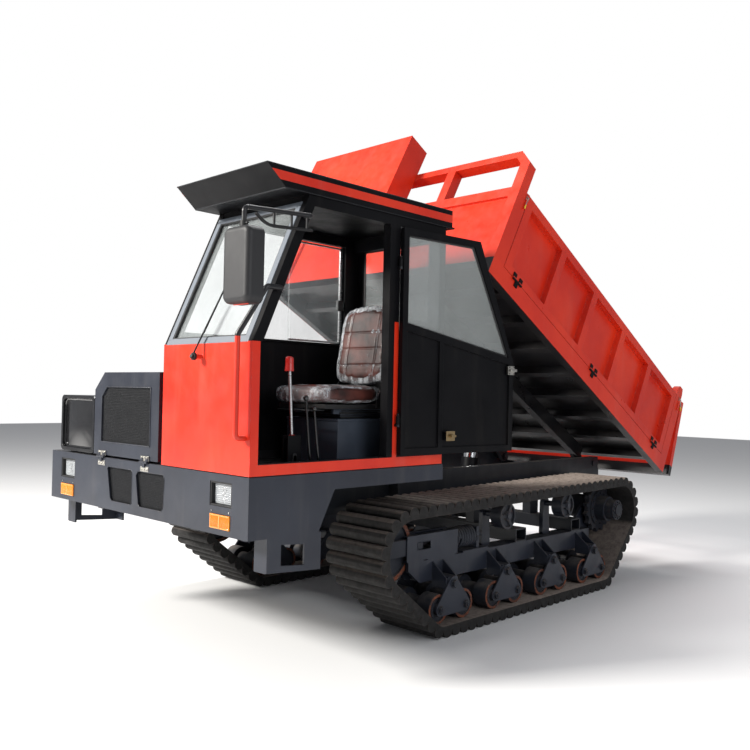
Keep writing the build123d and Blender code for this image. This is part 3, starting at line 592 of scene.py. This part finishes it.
def nose():
    mesh_screen("hood_screen", -452, 150, 1250, 1605, 13, "grille_door")
    mesh_screen("bumper_screen", -352, 345, 862, 1096, 15, ROOT)
    # folded lip round the hood's opening, its corner cut like the hood's
    bm = bmesh.new()
    outline = [(-455, 1247), (-455, 1547), (-393, 1609), (154, 1609), (154, 1247)]
    rod_loop(bm, [(x, 5, z) for x, z in outline], 4)
    make("hood_screen_lip", bm, slate, "grille_door")
    bm = bmesh.new()
    for opening in ([(-352, 1078), (-340, 1090), (-50, 1090), (-35, 1076), (-35, 884), (-50, 870), (-290, 870),
                     (-308, 884)],
                    [(8, 1062), (32, 1090), (325, 1090), (342, 1062), (330, 890), (310, 870), (60, 870),
                     (42, 884)]):
        rod_loop(bm, [(x, 1, z) for x, z in opening], 3)
    make("bumper_opening_lips", bm, slate, ROOT)
    for name, x in (("outer", -430), ("inner", 110)):
        bm = bmesh.new()
        block(bm, x - 46, x + 46, -2.5, 5.8, 1156, 1188)
        make(f"hinge_leaf_{name}", bm, zinc, "grille_door", edge=1.2)
        bm = bmesh.new()
        for dx in (-32, 0, 32):
            hexbolt(bm, (x + dx, -2.5, 1178), (0, -1, 0), 6, 5)
        make(f"hinge_leaf_bolts_{name}", bm, zinc, "grille_door", edge=0.5)
        bm = bmesh.new()
        block(bm, x - 46, x + 46, -2.5, -0.2, 1092, 1124)
        for dx in (-32, 0, 32):
            hexbolt(bm, (x + dx, -2.5, 1104), (0, -1, 0), 6, 5)
        make(f"hinge_base_{name}", bm, zinc, ROOT, edge=0.8)


def lamps():
    for side, sign in SIDES:
        x = sign * 908
        # bezel round the lens
        bm = bmesh.new()
        for x0, x1, z0, z1 in ((-100, 100, 968, 978), (-100, 100, 1092, 1102), (-100, -90, 978, 1092),
                               (90, 100, 978, 1092)):
            block(bm, x + x0, x + x1, 3, 36, z0, z1)
        make(f"headlamp_bezel_{side}", bm, matt_black, ROOT, edge=2)
        bm = bmesh.new()
        block(bm, x - 88, x + 88, 26, 30.5, 980, 1090)
        for i in range(15):
            for k in range(9):
                dome(bm, (x - 80.5 + i * 11.5, 26, 989 + k * 11.5), 4.6, 0.55, "Y", 3)
        make(f"headlamp_lens_{side}", bm, lens_white, ROOT, edge=0)
        bm = bmesh.new()
        for z in (1016, 1054):
            ring(bm, (x, 25, z), (0, -1, 0), 13, 17, 1.5, 24)
        make(f"headlamp_bulb_rings_{side}", bm, silver, ROOT, edge=0)
        # amber lens: vertical prisms and a middle rib
        bm = bmesh.new()
        for i in range(29):
            rod(bm, (x - 84 + i * 6, -6, 852), (x - 84 + i * 6, -6, 918), 2.4, 6)
        block(bm, x - 88, x + 88, -8.5, -3, 848, 853)
        block(bm, x - 88, x + 88, -8.5, -3, 917, 922)
        block(bm, x - 4, x + 4, -10, -3, 850, 920)
        make(f"turn_lens_ribs_{side}", bm, lens_amber, ROOT, edge=0.5)
        bm = bmesh.new()
        for dx in (-80, 80):
            hexbolt(bm, (x + dx, -0.2, 940), (0, -1, 0), 4, 3, False)
        make(f"turn_lamp_screws_{side}", bm, zinc, ROOT, edge=0.3)


def intake():
    """The intake box's dished face inside its rim, and the reflector on its outer edge."""
    bm = bmesh.new()
    count_x, count_z = 28, 22
    half_x, half_z, corner = 214, 166, 46
    verts = []
    for k in range(count_z + 1):
        row = []
        for i in range(count_x + 1):
            u = 2 * i / count_x - 1
            v = 2 * k / count_z - 1
            # squeeze a square onto a rounded rectangle
            power = (abs(u) ** 8 + abs(v) ** 8) ** (1 / 8) if (u or v) else 1
            edge = max(abs(u), abs(v))
            scale = edge / power if power else 1
            dish = 10 * math.cos(u * math.pi / 2) * math.cos(v * math.pi / 2)
            row.append(bm.verts.new((-806 + u * half_x * scale, 31 - dish, 1352 + v * half_z * scale)))
        verts.append(row)
    for k in range(count_z):
        for i in range(count_x):
            bm.faces.new((verts[k][i], verts[k][i + 1], verts[k + 1][i + 1], verts[k + 1][i]))
    make("intake_face", bm, gloss_black, ROOT, edge=0)
    bm = bmesh.new()
    block(bm, -1050, -1046, 20, 60, 1200, 1480)
    make("intake_reflector", bm, lens_amber, ROOT, edge=1)
    bm = bmesh.new()
    tube(bm, rounded_outline(-806, 1352, half_x, half_z, corner, 28), 7, closed=True)
    make("intake_rim", bm, gloss_black, ROOT, edge=0)


# ---------------------------------------------------------------- cab
lean_up = Vector((0, RAKE, 1)).normalized()
screen_out = Vector((0, -1, RAKE)).normalized()
screen_place = Matrix.Translation((0, 5, WAIST)) @ Matrix((
    (1, 0, 0, 0), (0, screen_out.y, lean_up.y, 0), (0, screen_out.z, lean_up.z, 0), (0, 0, 0, 1)))
SCREEN = MACHINE @ screen_place        # X across, Y out of the glass, Z up along it


def cab_trim():
    high = (2656 - WAIST) / lean_up.z
    x0, x1 = CAB_X0 + 26, HALF - 36
    bm = bmesh.new()
    for a0, a1, b0, b1 in ((x0, x1, -6, 34), (x0, x1, high - 20, high + 16), (x0, x0 + 40, 20, high),
                           (x1 - 40, x1, 20, high)):
        block(bm, a0, a1, -6, 5, b0, b1)
    make("windscreen_trim", bm, trim, ROOT, SCREEN, edge=2.5)
    bm = bmesh.new()
    for a0, a1, b0, b1 in ((x0 + 36, x1 - 36, 32, 42), (x0 + 36, x1 - 36, high - 28, high - 18),
                           (x0 + 38, x0 + 48, 34, high - 20), (x1 - 48, x1 - 38, 34, high - 20)):
        block(bm, a0, a1, -16, 1, b0, b1)
    make("windscreen_seal", bm, seal_rubber, ROOT, SCREEN, edge=2)
    # roof: red band on each side, lips along top and bottom
    for side, x in (("left", 1166), ("right", 294)):
        sign = 1 if side == "left" else -1
        bm = bmesh.new()
        prism(bm, [(158, 2750), (1636, 2750), (1636, 2800), (98, 2800)], "X", x, x + sign * 2)
        make(f"roof_band_{side}", bm, red, ROOT, edge=0.6)
        bm = bmesh.new()
        rod(bm, (x, 66, 2828), (x, 1638, 2828), 3.5, 8)
        rod(bm, (x, 200, 2714), (x, 1638, 2714), 3.5, 8)
        make(f"roof_lip_{side}", bm, dark_steel, ROOT, edge=0)
    bm = bmesh.new()
    rod(bm, (296, 66, 2828), (1164, 66, 2828), 3.5, 8)
    rod(bm, (296, 199, 2714), (1164, 199, 2714), 3.5, 8)
    make("roof_front_lip", bm, dark_steel, ROOT, edge=0)
    # rubber round the rear pane
    bm = bmesh.new()
    y = CAB_BACK - 14
    for x0, x1, z0, z1 in ((416, 1034, 1946, 1960), (416, 1034, 2612, 2626), (416, 428, 1950, 2620),
                           (1022, 1034, 1950, 2620)):
        block(bm, x0, x1, y, y + 3, z0, z1)
    make("rear_window_seal", bm, seal_rubber, ROOT, edge=1)
    # frame and latch of the sliding side pane
    bm = bmesh.new()
    for y0, y1, z0, z1 in ((1414, 1443, 1953, 2640), (945, 1440, 1953, 1966), (945, 1440, 2628, 2640)):
        block(bm, CAB_X0 + 12, CAB_X0 + 26, y0, y1, z0, z1)
    make("sliding_pane_frame", bm, silver, "sliding_window", edge=2)
    bm = bmesh.new()
    block(bm, CAB_X0 + 26, CAB_X0 + 46, 1384, 1432, 2188, 2262)
    rod(bm, (CAB_X0 + 40, 1408, 2225), (CAB_X0 + 47, 1408, 2225), 15, 20)
    make("sliding_pane_latch", bm, matt_black, "sliding_window", edge=3)
    # floor mat and its ribs
    bm = bmesh.new()
    block(bm, CAB_X0 + 30, HALF - 66, 66, 600, 1158.5, 1163)
    for i in range(24):
        block(bm, CAB_X0 + 40, HALF - 76, 80 + i * 21, 88 + i * 21, 1163, 1165)
    make("floor_mat", bm, matt_black, ROOT, edge=0)
    # bright strip of the sill where the door closes
    bm = bmesh.new()
    block(bm, HALF - 62, HALF - 2, 57, 1100, 1210.2, 1212.5)
    make("door_sill_strip", bm, dark_steel, ROOT, edge=0.5)
    bm = bmesh.new()
    rod(bm, (690, -58, 1790), (690, -42, 1790), 22, 28)
    rod(bm, (690, -66, 1793), (690, -58, 1790), 11, 6)
    make("wiper_spindle_cap", bm, matt_black, ROOT, edge=1)


def mirror():
    x, y, z = 1262, -150, 2235
    outline = [(spot[0], spot[2]) for spot in rounded_outline(x, z, 92, 178, 34, 0)]
    bm = bmesh.new()
    prism(bm, outline, "Y", y + 50.2, y + 53)
    make("mirror_pane", bm, mirror_glass, "mirror_head", edge=0.6)
    bm = bmesh.new()
    tube(bm, rounded_outline(x, z, 92, 178, 34, y + 50), 5, 8, 1, closed=True)
    make("mirror_rim", bm, seal_rubber, "mirror_head", edge=0)
    # the stay's lower tube and the webs between the two
    start, end = Vector((x, y, 2535)), Vector((1220, 345, 2575))
    drop = Vector((0, 0, -82))
    bm = bmesh.new()
    tube(bm, [start.lerp(end, 0.16) + drop * 0.3, start.lerp(end, 0.28) + drop, start.lerp(end, 0.6) + drop,
              end + drop], 9)
    for share in (0.42, 0.68, 0.92):
        rod(bm, start.lerp(end, share), start.lerp(end, share) + drop, 7, 12)
    make("mirror_stay_lower", bm, matt_black, ROOT, edge=0)
    bm = bmesh.new()
    rod(bm, (x - 60, y - 6, z - 194.5), (x + 60, y - 6, z - 194.5), 5, 10)
    make("mirror_foot_strip", bm, red, "mirror_head", edge=0)
    bm = bmesh.new()
    rod(bm, (x, y, z + 196), (x, y, z + 228), 20, 28)
    rod(bm, (x - 34, y, z + 214), (x + 34, y, z + 214), 7, 6)
    make("mirror_clamp", bm, matt_black, ROOT, edge=1.5)


def door_trim():
    """Locks, handle and window rubber on the door, in the closed door's place."""
    bm = bmesh.new()
    block(bm, 1146, 1163, 58, 122, 1752, 1813)
    rod(bm, (1140, 74, 1782), (1146, 74, 1782), 13, 24)
    block(bm, 1130, 1140, 50, 116, 1774, 1792)
    make("door_lock", bm, zinc, "cab_door", DOOR, edge=1.5)
    bm = bmesh.new()
    for dy in (66, 112):
        for z in (1760, 1805):
            hexbolt(bm, (1146, dy, z), (-1, 0, 0), 4.5, 3, False)
    make("door_lock_screws", bm, dark_steel, "cab_door", DOOR, edge=0.3)
    bm = bmesh.new()
    block(bm, 1136, 1142.5, 656, 734, 1306, 1369)
    rod(bm, (1120, 695, 1338), (1136, 695, 1338), 13, 24)
    block(bm, 1112, 1121, 668, 708, 1331, 1345)
    make("inner_lock", bm, brass, "cab_door", DOOR, edge=1.5)
    bm = bmesh.new()
    block(bm, 1198, 1216, 104, 226, 1552, 1600)
    make("door_handle", bm, matt_black, "cab_door", DOOR, edge=4)
    lean = RAKE * (2640 - 1836)
    corners = [(1064, 2044), (1064, 2594), (114 + lean + 2, 2594), (110, 1878)]
    bm = bmesh.new()
    rod_loop(bm, [(1180.5, y, z) for y, z in corners], 9)
    make("door_window_seal", bm, seal_rubber, "cab_door", DOOR, edge=0)
    bm = bmesh.new()
    for z in (1400, 2380):
        rod(bm, (HINGE_X, HINGE_Y, z - 2), (HINGE_X, HINGE_Y, z + 14), 13, 24)
        rod(bm, (HINGE_X, HINGE_Y, z + 72), (HINGE_X, HINGE_Y, z + 80), 9, 24)
    make("door_hinge_caps", bm, dark_steel, ROOT, edge=1)


# ---------------------------------------------------------------- seat
def pad_loops(bm, section, x0, x1, around, across, end_c, end_d, more_c=1.0, more_d=1.0, push=None):
    """Loops of a rounded rectangle by a superellipse, bent by section(c, d) and drawn in toward both ends."""
    rows = []
    for s in range(across + 1):
        t = s / across
        side = math.sin(math.pi * t) ** 0.22 if 0 < t < 1 else 0.0
        loop = []
        for i in range(around):
            a = 2 * math.pi * i / around
            c, d = math.cos(a), math.sin(a)
            cy = math.copysign(abs(c) ** 0.42, c) * more_c
            cz = math.copysign(abs(d) ** 0.42, d) * more_d
            y, z = section(cy * (end_c + (1 - end_c) * side), cz * (end_d + (1 - end_d) * side))
            place = Vector((x0 + (x1 - x0) * t, y, z))
            loop.append(bm.verts.new(place + push(place, c, d) if push else place))
        rows.append(loop)
    for s in range(across):
        for i in range(around):
            j = (i + 1) % around
            bm.faces.new((rows[s][i], rows[s][j], rows[s + 1][j], rows[s + 1][i]))
    return rows


def padded_block(name, x0, x1, section, puff, channels):
    """A cushion lofted through one section, swollen and then sewn."""
    bm = bmesh.new()
    rows = pad_loops(bm, section, x0, x1, 40, 26, 0.72, 0.62)
    bm.faces.new(list(reversed(rows[0])))
    bm.faces.new(rows[-1])
    piece = make(name, bm, seat_vinyl, "seat", edge=0, smooth=180)
    inflate(piece, puff)
    for channel in channels:
        channel(piece)
    smooth = piece.modifiers.new("smooth", "SUBSURF")
    smooth.levels = smooth.render_levels = 1
    return piece


def inflate(piece, cap):
    """Swells the pad as cloth under pressure, with a cap on how far a point may move."""
    remesh = piece.modifiers.new("remesh", "REMESH")
    remesh.mode = "VOXEL"
    remesh.voxel_size = 0.0075
    apply_modifiers(piece)
    before = [v.co.copy() for v in piece.data.vertices]
    cloth = piece.modifiers.new("cloth", "CLOTH")
    cloth.settings.use_pressure = True
    cloth.settings.uniform_pressure_force = 4
    cloth.settings.effector_weights.gravity = 0
    cloth.settings.quality = 5
    scene = bpy.context.scene
    for step in range(1, 15):
        scene.frame_set(step)
    apply_modifiers(piece)
    scene.frame_set(1)
    for v, rest in zip(piece.data.vertices, before):
        move = v.co - rest
        if move.length > cap / 1000:
            v.co = rest + move.normalized() * cap / 1000
    piece.data.polygons.foreach_set("use_smooth", [True] * len(piece.data.polygons))


def apply_modifiers(piece):
    graph = bpy.context.evaluated_depsgraph_get()
    mesh = bpy.data.meshes.new_from_object(piece.evaluated_get(graph))
    piece.modifiers.clear()
    piece.data = mesh


def seam(axis, at, wide, deep, face, least):
    """A sewn channel: pulls in points near a plane, on the side of the pad that faces along an axis."""

    def press(piece):
        for v in piece.data.vertices:
            away = abs(v.co[axis] - at)
            if away < wide and v.normal[face] * least > 0.3:
                v.co[face] -= math.copysign(deep * (1 - away / wide) ** 2, least)

    return press


def seat():
    low, high = (corner * 1000 - to_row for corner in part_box("seat"))
    x0, y0, top = low.x, low.y, high.z

    def cushion(c, d):
        y = y0 + 265 + 258 * c
        z = 1592 + 50 * d + 10 * c * c - 16 * max(-c, 0) ** 3
        return y, z

    def back(c, d):
        middle = (1667 + top - 22) / 2
        z = middle + (top - 22 - middle) * d
        lean = (z - 1650) * 0.155
        return y0 + 572 + lean + (40 - 6 * d) * c, z

    seams_x = [(MACHINE @ Vector((x, 0, 0))).x for x in (x0 + 110, x0 + 370)]
    seams_y = [(MACHINE @ Vector((0, y, 0))).y for y in (y0 + 140, y0 + 280, y0 + 410)]
    padded_block("seat_cushion", x0 + 5, x0 + 475, cushion, 9,
                             [seam(0, x, 0.012, 0.010, 2, 1) for x in seams_x]
                             + [seam(1, y, 0.010, 0.007, 2, 1) for y in seams_y])
    padded_block("seat_back", x0 + 15, x0 + 465, back, 9,
                             [seam(0, x, 0.012, 0.010, 1, -1) for x in seams_x]
                             + [seam(2, z / 1000, 0.010, 0.007, 1, -1) for z in (1790, 1900, 2010)])
    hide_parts("seat")
    # pan, hinge cheeks and slide handle
    bm = bmesh.new()
    block(bm, x0 + 22, x0 + 458, y0 + 44, y0 + 556, 1502, 1530)
    for x in (x0 + 12, x0 + 456):
        prism(bm, [(y0 + 480, 1512), (y0 + 580, 1512), (y0 + 632, 1700), (y0 + 595, 1712), (y0 + 480, 1560)],
              "X", x, x + 12)
    make("seat_pan", bm, matt_black, "seat", edge=3)
    bm = bmesh.new()
    tube(bm, [(x0 + 70, y0 + 80, 1496), (x0 + 70, y0 - 10, 1492), (x0 + 110, y0 - 28, 1492),
              (x0 + 370, y0 - 28, 1492), (x0 + 410, y0 - 10, 1492), (x0 + 410, y0 + 80, 1496)], 6)
    make("seat_slide_bar", bm, dark_steel, "seat", edge=0)
    wrap("cushion_wrap", cushion, x0 + 2, x0 + 478, 1.05, 1.13, 11)
    wrap("back_wrap", back, x0 + 12, x0 + 468, 1.09, 1.02, 23)
    # box under the seat: bellows and the rims of its lid and foot
    bm = bmesh.new()
    for k in range(4):
        z = 1442 + k * 14
        inset = (k % 2) * 9
        block(bm, x0 + 20 + inset, x0 + 420 - inset, y0 + 210 + inset, y0 + 630 - inset, z, z + 13)
    make("seat_bellows", bm, matt_black, ROOT, edge=5)
    bm = bmesh.new()
    for z0, z1 in ((1426, 1441), (1158.5, 1172)):
        block(bm, x0 - 36, x0 + 456, y0 + 154, y0 + 676, z0, z1)
    make("seat_box_rims", bm, seat_grey, ROOT, edge=3)


def wrap(name, section, x0, x1, more_c, more_d, seed):
    """Loose clear film round a pad, creased."""

    def creased(place, c, d):
        crease = noise.fractal(place * 0.013 + Vector((seed, 0, 0)), 0.9, 2.1, 4) * 6
        fold = abs(noise.noise(place * 0.030 + Vector((0, seed, 0)))) * 7
        return Vector((0, c, d)).normalized() * (crease + fold - 1)

    bm = bmesh.new()
    pad_loops(bm, section, x0, x1, 130, 90, 0.74, 0.66, more_c, more_d, creased)
    make(name, bm, wrap_film, "seat", edge=0, smooth=50)


# ---------------------------------------------------------------- controls
def controls():
    bm = bmesh.new()
    y, z = 463, 1330
    rod(bm, (950, y - 14 + 13.2, z + 20), (950, y - 14 - 13.2, z + 395), 10, 20)
    make("lever_rod", bm, silver, "control_lever", edge=0)
    bm = bmesh.new()
    rod(bm, (950, y - 30, z + 392), (950, y - 30, z + 470), 27, 28, 22)
    dome(bm, (950, y - 30, z + 468), 24, 0.45, "Z", 4)
    make("lever_knob", bm, knob_red, "control_lever", edge=1.5)
    bm = bmesh.new()
    block(bm, 905, 995, y - 60, y + 60, 1158.5, 1176)
    for k in range(5):
        rod(bm, (916, y, 1184 + k * 12), (984, y, 1184 + k * 12), 20 - k, 24)
    make("lever_boot", bm, matt_black, ROOT, edge=2)
    # second, fixed lever and its linkage behind the door opening
    bm = bmesh.new()
    rod(bm, (1010, 560, 1158.5), (1004, 520, 1560), 7, 16)
    dome(bm, (1004, 518, 1568), 17, 1, "Z", 6)
    rod(bm, (1040, 600, 1158.5), (1034, 560, 1500), 7, 16)
    dome(bm, (1034, 558, 1508), 17, 1, "Z", 6)
    make("side_levers", bm, gloss_black, ROOT, edge=0)


# ---------------------------------------------------------------- running gear
def joint_at(name):
    """A joint's place, in machine axes."""
    return Vector(joints[name]["pos_m"]) * 1000 - to_row


def coil_spring(side, turns=7, wire=11.5, per_turn=26, round_wire=12):
    """A real coil in place of the plain tube."""
    node = f"recoil_spring_{side}"
    low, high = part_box(node)
    radius = (high.z - low.z) * 500 - wire
    length = (high.y - low.y) * 1000 - 2 * wire
    middle = (low + high) / 2
    centre = Vector((middle.x * 1000, low.y * 1000 + wire, middle.z * 1000)) - to_row
    steps = turns * per_turn
    bm = bmesh.new()
    before = None
    for i in range(steps + 1):
        a = 2 * math.pi * turns * i / steps
        out = Vector((math.cos(a), 0, math.sin(a)))
        spot = centre + out * radius + Vector((0, length * i / steps, 0))
        loop = [bm.verts.new(spot + out * wire * math.cos(b) + Vector((0, 1, 0)) * wire * math.sin(b))
                for b in (2 * math.pi * k / round_wire for k in range(round_wire))]
        if before:
            for k in range(round_wire):
                m = (k + 1) % round_wire
                bm.faces.new((before[k], before[m], loop[m], loop[k]))
        else:
            bm.faces.new(loop)
        before = loop
    bm.faces.new(list(reversed(before)))
    spring = make(f"coil_spring_{side}", bm, gear, ROOT, edge=0, smooth=180)
    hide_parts(node)
    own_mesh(spring)


def worn_rims(name, body, sign, pos, reach, r_in, r_out, thick, sides=48):
    """Rubbed rings on both faces of a wheel."""
    bm = bmesh.new()
    for out in (-1, 1):
        ring(bm, (sign * (BELT_X + out * reach), pos.y, pos.z), (sign * out, 0, 0), r_in, r_out, thick, sides)
    make(name, bm, rust, body, edge=0)


def roller_trim(side, sign, number):
    """Rims, seal and axle nut of one track roller."""
    roller = f"track_roller_{number}_{side}"
    pos = joint_at(f"{roller}_spin")
    worn_rims(f"roller_rim_{number}_{side}", roller, sign, pos, 188, 81, 98.5, 1.2)
    bm = bmesh.new()
    ring(bm, (sign * (BELT_X + 176), pos.y, pos.z), (sign, 0, 0), 42, 66, 5, 32)
    for k in range(6):
        a = math.pi * k / 3
        hexbolt(bm, (sign * (BELT_X + 181), pos.y + 54 * math.cos(a), pos.z + 54 * math.sin(a)),
                (sign, 0, 0), 5, 4, False)
    make(f"roller_hub_{number}_{side}", bm, gear, roller, edge=0.6)
    bm = bmesh.new()
    for x0, x1, r, sides in ((1152, 1155, 30, 28), (1155, 1171, 26, 6), (1171, 1177, 13, 16)):
        rod(bm, (sign * x0, pos.y, pos.z), (sign * x1, pos.y, pos.z), r, sides)
    make(f"roller_nut_{number}_{side}", bm, gear, ROOT, edge=1)


def tracks():
    for side, sign in SIDES:
        coil_spring(side)
        for number in range(1, 9):
            roller_trim(side, sign, number)
        idler = f"idler_wheel_{side}"
        worn_rims(f"idler_rim_{side}", idler, sign, joint_at(f"{idler}_spin"), 30, 193, 220, 1, 72)
        bm = bmesh.new()
        for y in (1751, 2373, 2995, 3617):
            rod(bm, (sign * 1152, y, 335), (sign * 1156, y, 335), 34, 28)
            rod(bm, (sign * 1156, y, 335), (sign * 1176, y, 335), 28, 6)
        make(f"bogie_pivot_nuts_{side}", bm, gear, ROOT, edge=1)
        for where in ("front", "rear"):
            roller = f"carrier_roller_{where}_{side}"
            pos = joint_at(f"{roller}_spin")
            bm = bmesh.new()
            rod(bm, (sign * 1132, pos.y, pos.z), (sign * 1138, pos.y, pos.z), 30, 28)
            make(f"carrier_cap_{where}_{side}", bm, gear, roller, edge=1)
        # rim of the adjuster window in the idler guide
        bm = bmesh.new()
        window_rim = rounded_outline(1602.5, 586, 67.5, 26, 6, 0)
        tube(bm, [(sign * 1010.5, y, z) for y, _, z in window_rim], 3, 8, 1, closed=True)
        make(f"guide_window_rim_{side}", bm, slate, ROOT, edge=0)


# ---------------------------------------------------------------- tipping body
def body_trim():
    for side, sign in SIDES:
        out = sign * BED_HALF
        # black sleeves over the gate's hinge knuckles, and their leaves
        bm = bmesh.new()
        for u in (298, 1570, 2841):
            for low in (u - 61, u + 21):
                rod(bm, (sign * 1198, low, 128), (sign * 1198, low + 40, 128), 8.2, 20)
                block(bm, *sorted((out, sign * 1198.5)), low, low + 40, 138, 178)
        make(f"gate_hinge_leaves_{side}", bm, black, f"gate_{side}", BED, edge=1.2)
        bm = bmesh.new()
        for u in (298, 1570, 2841):
            rod(bm, (sign * 1198, u - 20, 128), (sign * 1198, u + 20, 128), 8.2, 20)
            block(bm, *sorted((out, sign * 1198.5)), u - 20, u + 20, 84, 126)
        make(f"gate_hinge_bases_{side}", bm, black, "dump_body", BED, edge=1.2)
        # latch levers at the corner posts, with grips
        for where, u, h_top, h_low, lean in (("front", 94, 752, 640, 0), ("rear", 3120, 770, 664, 60)):
            bm = bmesh.new()
            x0, x1 = sorted((sign * 1191, sign * 1200))
            block(bm, x0, x1, u - 16, u + 16, h_top - 36, h_top)
            rod(bm, (sign * 1199, u, h_top - 10), (sign * 1199, u + lean, h_low + 26), 5.5, 12)
            rod(bm, (sign * 1190, u, h_top - 18), (sign * 1206, u, h_top - 18), 8, 16)
            make(f"gate_latch_{where}_{side}", bm, zinc, "dump_body", BED, edge=1)
            bm = bmesh.new()
            rod(bm, (sign * 1199, u + lean * 0.72, h_low + 34), (sign * 1199, u + lean, h_low), 8, 16)
            make(f"latch_grip_{where}_{side}", bm, grip_yellow, "dump_body", BED, edge=1)
        # weld beads where ribs meet the rails of the gate
        bm = bmesh.new()
        for i in range(6):
            u = 157 + i * (3000 - 157) / 5
            for edge_u in (u - 38, u + 38):
                tube(bm, [(sign * 1140, edge_u, 200), (sign * 1141, edge_u, 350), (sign * 1141, edge_u, 550),
                          (sign * 1140, edge_u, 702)], 3.2, 8, 3)
        make(f"gate_welds_{side}", bm, red, f"gate_{side}", BED, edge=0)
    # bead round the headboard, fold lines of the guard box, chain anchors of the tailgate
    bm = bmesh.new()
    for x in (-1164, 29):
        rod(bm, (x, -233, 700), (x, -233, 1366), 4, 8)
    for h in (702, 1364):
        rod(bm, (-1164, -233, h), (29, -233, h), 4, 8)
    make("guard_box_beads", bm, red, "dump_body", BED, edge=0)
    bm = bmesh.new()
    for x in (-1040, -520, 0, 520, 1040):
        hexbolt(bm, (x, 3222, 735), (0, 1, 0), 9, 8)
    tail = BED @ Matrix.Translation((0, 3140, 850)) @ Matrix.Rotation(
        -math.radians(joints["tailgate_hinge"]["range_deg"][0]), 4, "X") @ Matrix.Translation((0, -3140, -850))
    make("tailgate_bolts", bm, dark_steel, "tailgate", tail, edge=0.6)
    bm = bmesh.new()
    for sign in (1, -1):
        rod(bm, (sign * 1096, 3140, 850), (sign * 1132, 3140, 850), 20, 24)
        rod(bm, (sign * 1132, 3140, 850), (sign * 1140, 3140, 850), 14, 6)
    make("tailgate_pins", bm, dark_steel, "dump_body", BED, edge=1)


# ---------------------------------------------------------------- deck: valve block, pipes and caps
def deck_parts():
    bm = bmesh.new()
    block(bm, 196, 404, 2056, 2264, 935, 978)
    for k in range(4):
        rod(bm, (232 + k * 46, 2160, 978), (232 + k * 46, 2160, 1012), 15, 20)
        rod(bm, (232 + k * 46, 2160, 1012), (232 + k * 46, 2160, 1020), 18, 6)
    make("valve_block", bm, silver, ROOT, edge=2)
    for k in range(4):
        bm = bmesh.new()
        x = 232 + k * 46
        tube(bm, [(x, 2110, 974), (x, 2110, 1004), (x, 2060, 1012), (x - 40, 1960, 1010), (x - 90, 1880, 990),
                  (x - 120, 1800, 950), (x - 120, 1720, 930)], 8)
        make(f"pressure_pipe_{k + 1}", bm, silver if k % 2 else matt_black, ROOT, edge=0)
    bm = bmesh.new()
    rod(bm, (-330, 2480, 970), (-330, 2480, 1000), 42, 32)
    rod(bm, (-330, 2480, 1000), (-330, 2480, 1012), 50, 12)
    make("tank_cap", bm, matt_black, ROOT, edge=2)


nose()
lamps()
intake()
cab_trim()
mirror()
door_trim()
seat()
controls()
tracks()
body_trim()
deck_parts()


# ---------------------------------------------------------------- floor, light and camera
def stage():
    bpy.ops.mesh.primitive_plane_add(size=60, location=(0, 0, 0))
    floor = bpy.context.object
    floor.name = "studio_floor"
    surface = Finish("studio_floor", (0.86, 0.86, 0.86), 0.9)
    surface.rough(surface.span(surface.noise(3, 3), 0, 1, 0.85, 0.95))
    floor.data.materials.append(surface.mat)
    world = bpy.data.worlds.new("studio")
    world.use_nodes = True
    tree = world.node_tree
    soft = tree.nodes["Background"]
    soft.inputs["Color"].default_value = (0.93, 0.95, 1.0, 1)
    soft.inputs["Strength"].default_value = 0.30
    backdrop = tree.nodes.new("ShaderNodeBackground")
    backdrop.inputs["Color"].default_value = (1, 1, 1, 1)
    seen = tree.nodes.new("ShaderNodeLightPath")
    choose = tree.nodes.new("ShaderNodeMixShader")
    tree.links.new(seen.outputs["Is Camera Ray"], choose.inputs[0])
    tree.links.new(soft.outputs[0], choose.inputs[1])
    tree.links.new(backdrop.outputs[0], choose.inputs[2])
    tree.links.new(choose.outputs[0], tree.nodes["World Output"].inputs["Surface"])
    bpy.context.scene.world = world
    bpy.context.scene.view_settings.view_transform = "Standard"
    for name, place, energy, size, colour in (
        ("key", (-4.5, -11.0, 7.0), 2700, 2.5, (1.0, 0.97, 0.92)),
        ("side", (11.0, -2.0, 5.0), 300, 6.0, (0.95, 0.97, 1.0)),
        ("top", (-1.0, 2.0, 10.0), 600, 4.0, (1.0, 1.0, 1.0)),
    ):
        lamp = bpy.data.lights.new(name, "AREA")
        lamp.energy = energy
        lamp.size = size
        lamp.color = colour
        holder = bpy.data.objects.new(name, lamp)
        holder.location = place
        holder.rotation_mode = "QUATERNION"
        holder.rotation_quaternion = (Vector((0, 0, 1.4)) - Vector(place)).to_track_quat("-Z", "Y")
        bpy.context.scene.collection.objects.link(holder)


def camera():
    """A standing person's view of the nose and the cab's side."""
    data = bpy.data.cameras.new("camera")
    data.sensor_width = 36
    data.lens = 39.56
    data.shift_x, data.shift_y = 0.020, 0.0073
    data.clip_end = 200
    yaw, pitch, roll = (math.radians(a) for a in (44.95, 0.83, 1.24))
    forward = Vector((-math.sin(yaw) * math.cos(pitch), math.cos(yaw) * math.cos(pitch), math.sin(pitch)))
    right = Vector((math.cos(yaw), math.sin(yaw), 0))
    up = right.cross(forward)
    across = right * math.cos(roll) + up * math.sin(roll)
    above = up * math.cos(roll) - right * math.sin(roll)
    turn = Matrix((across, above, -forward)).transposed()
    holder = bpy.data.objects.new("camera", data)
    holder.matrix_world = Matrix.Translation((4.5372, -5.1774, 1.6075)) @ turn.to_4x4()
    bpy.context.scene.collection.objects.link(holder)
    bpy.context.scene.camera = holder


stage()
camera()
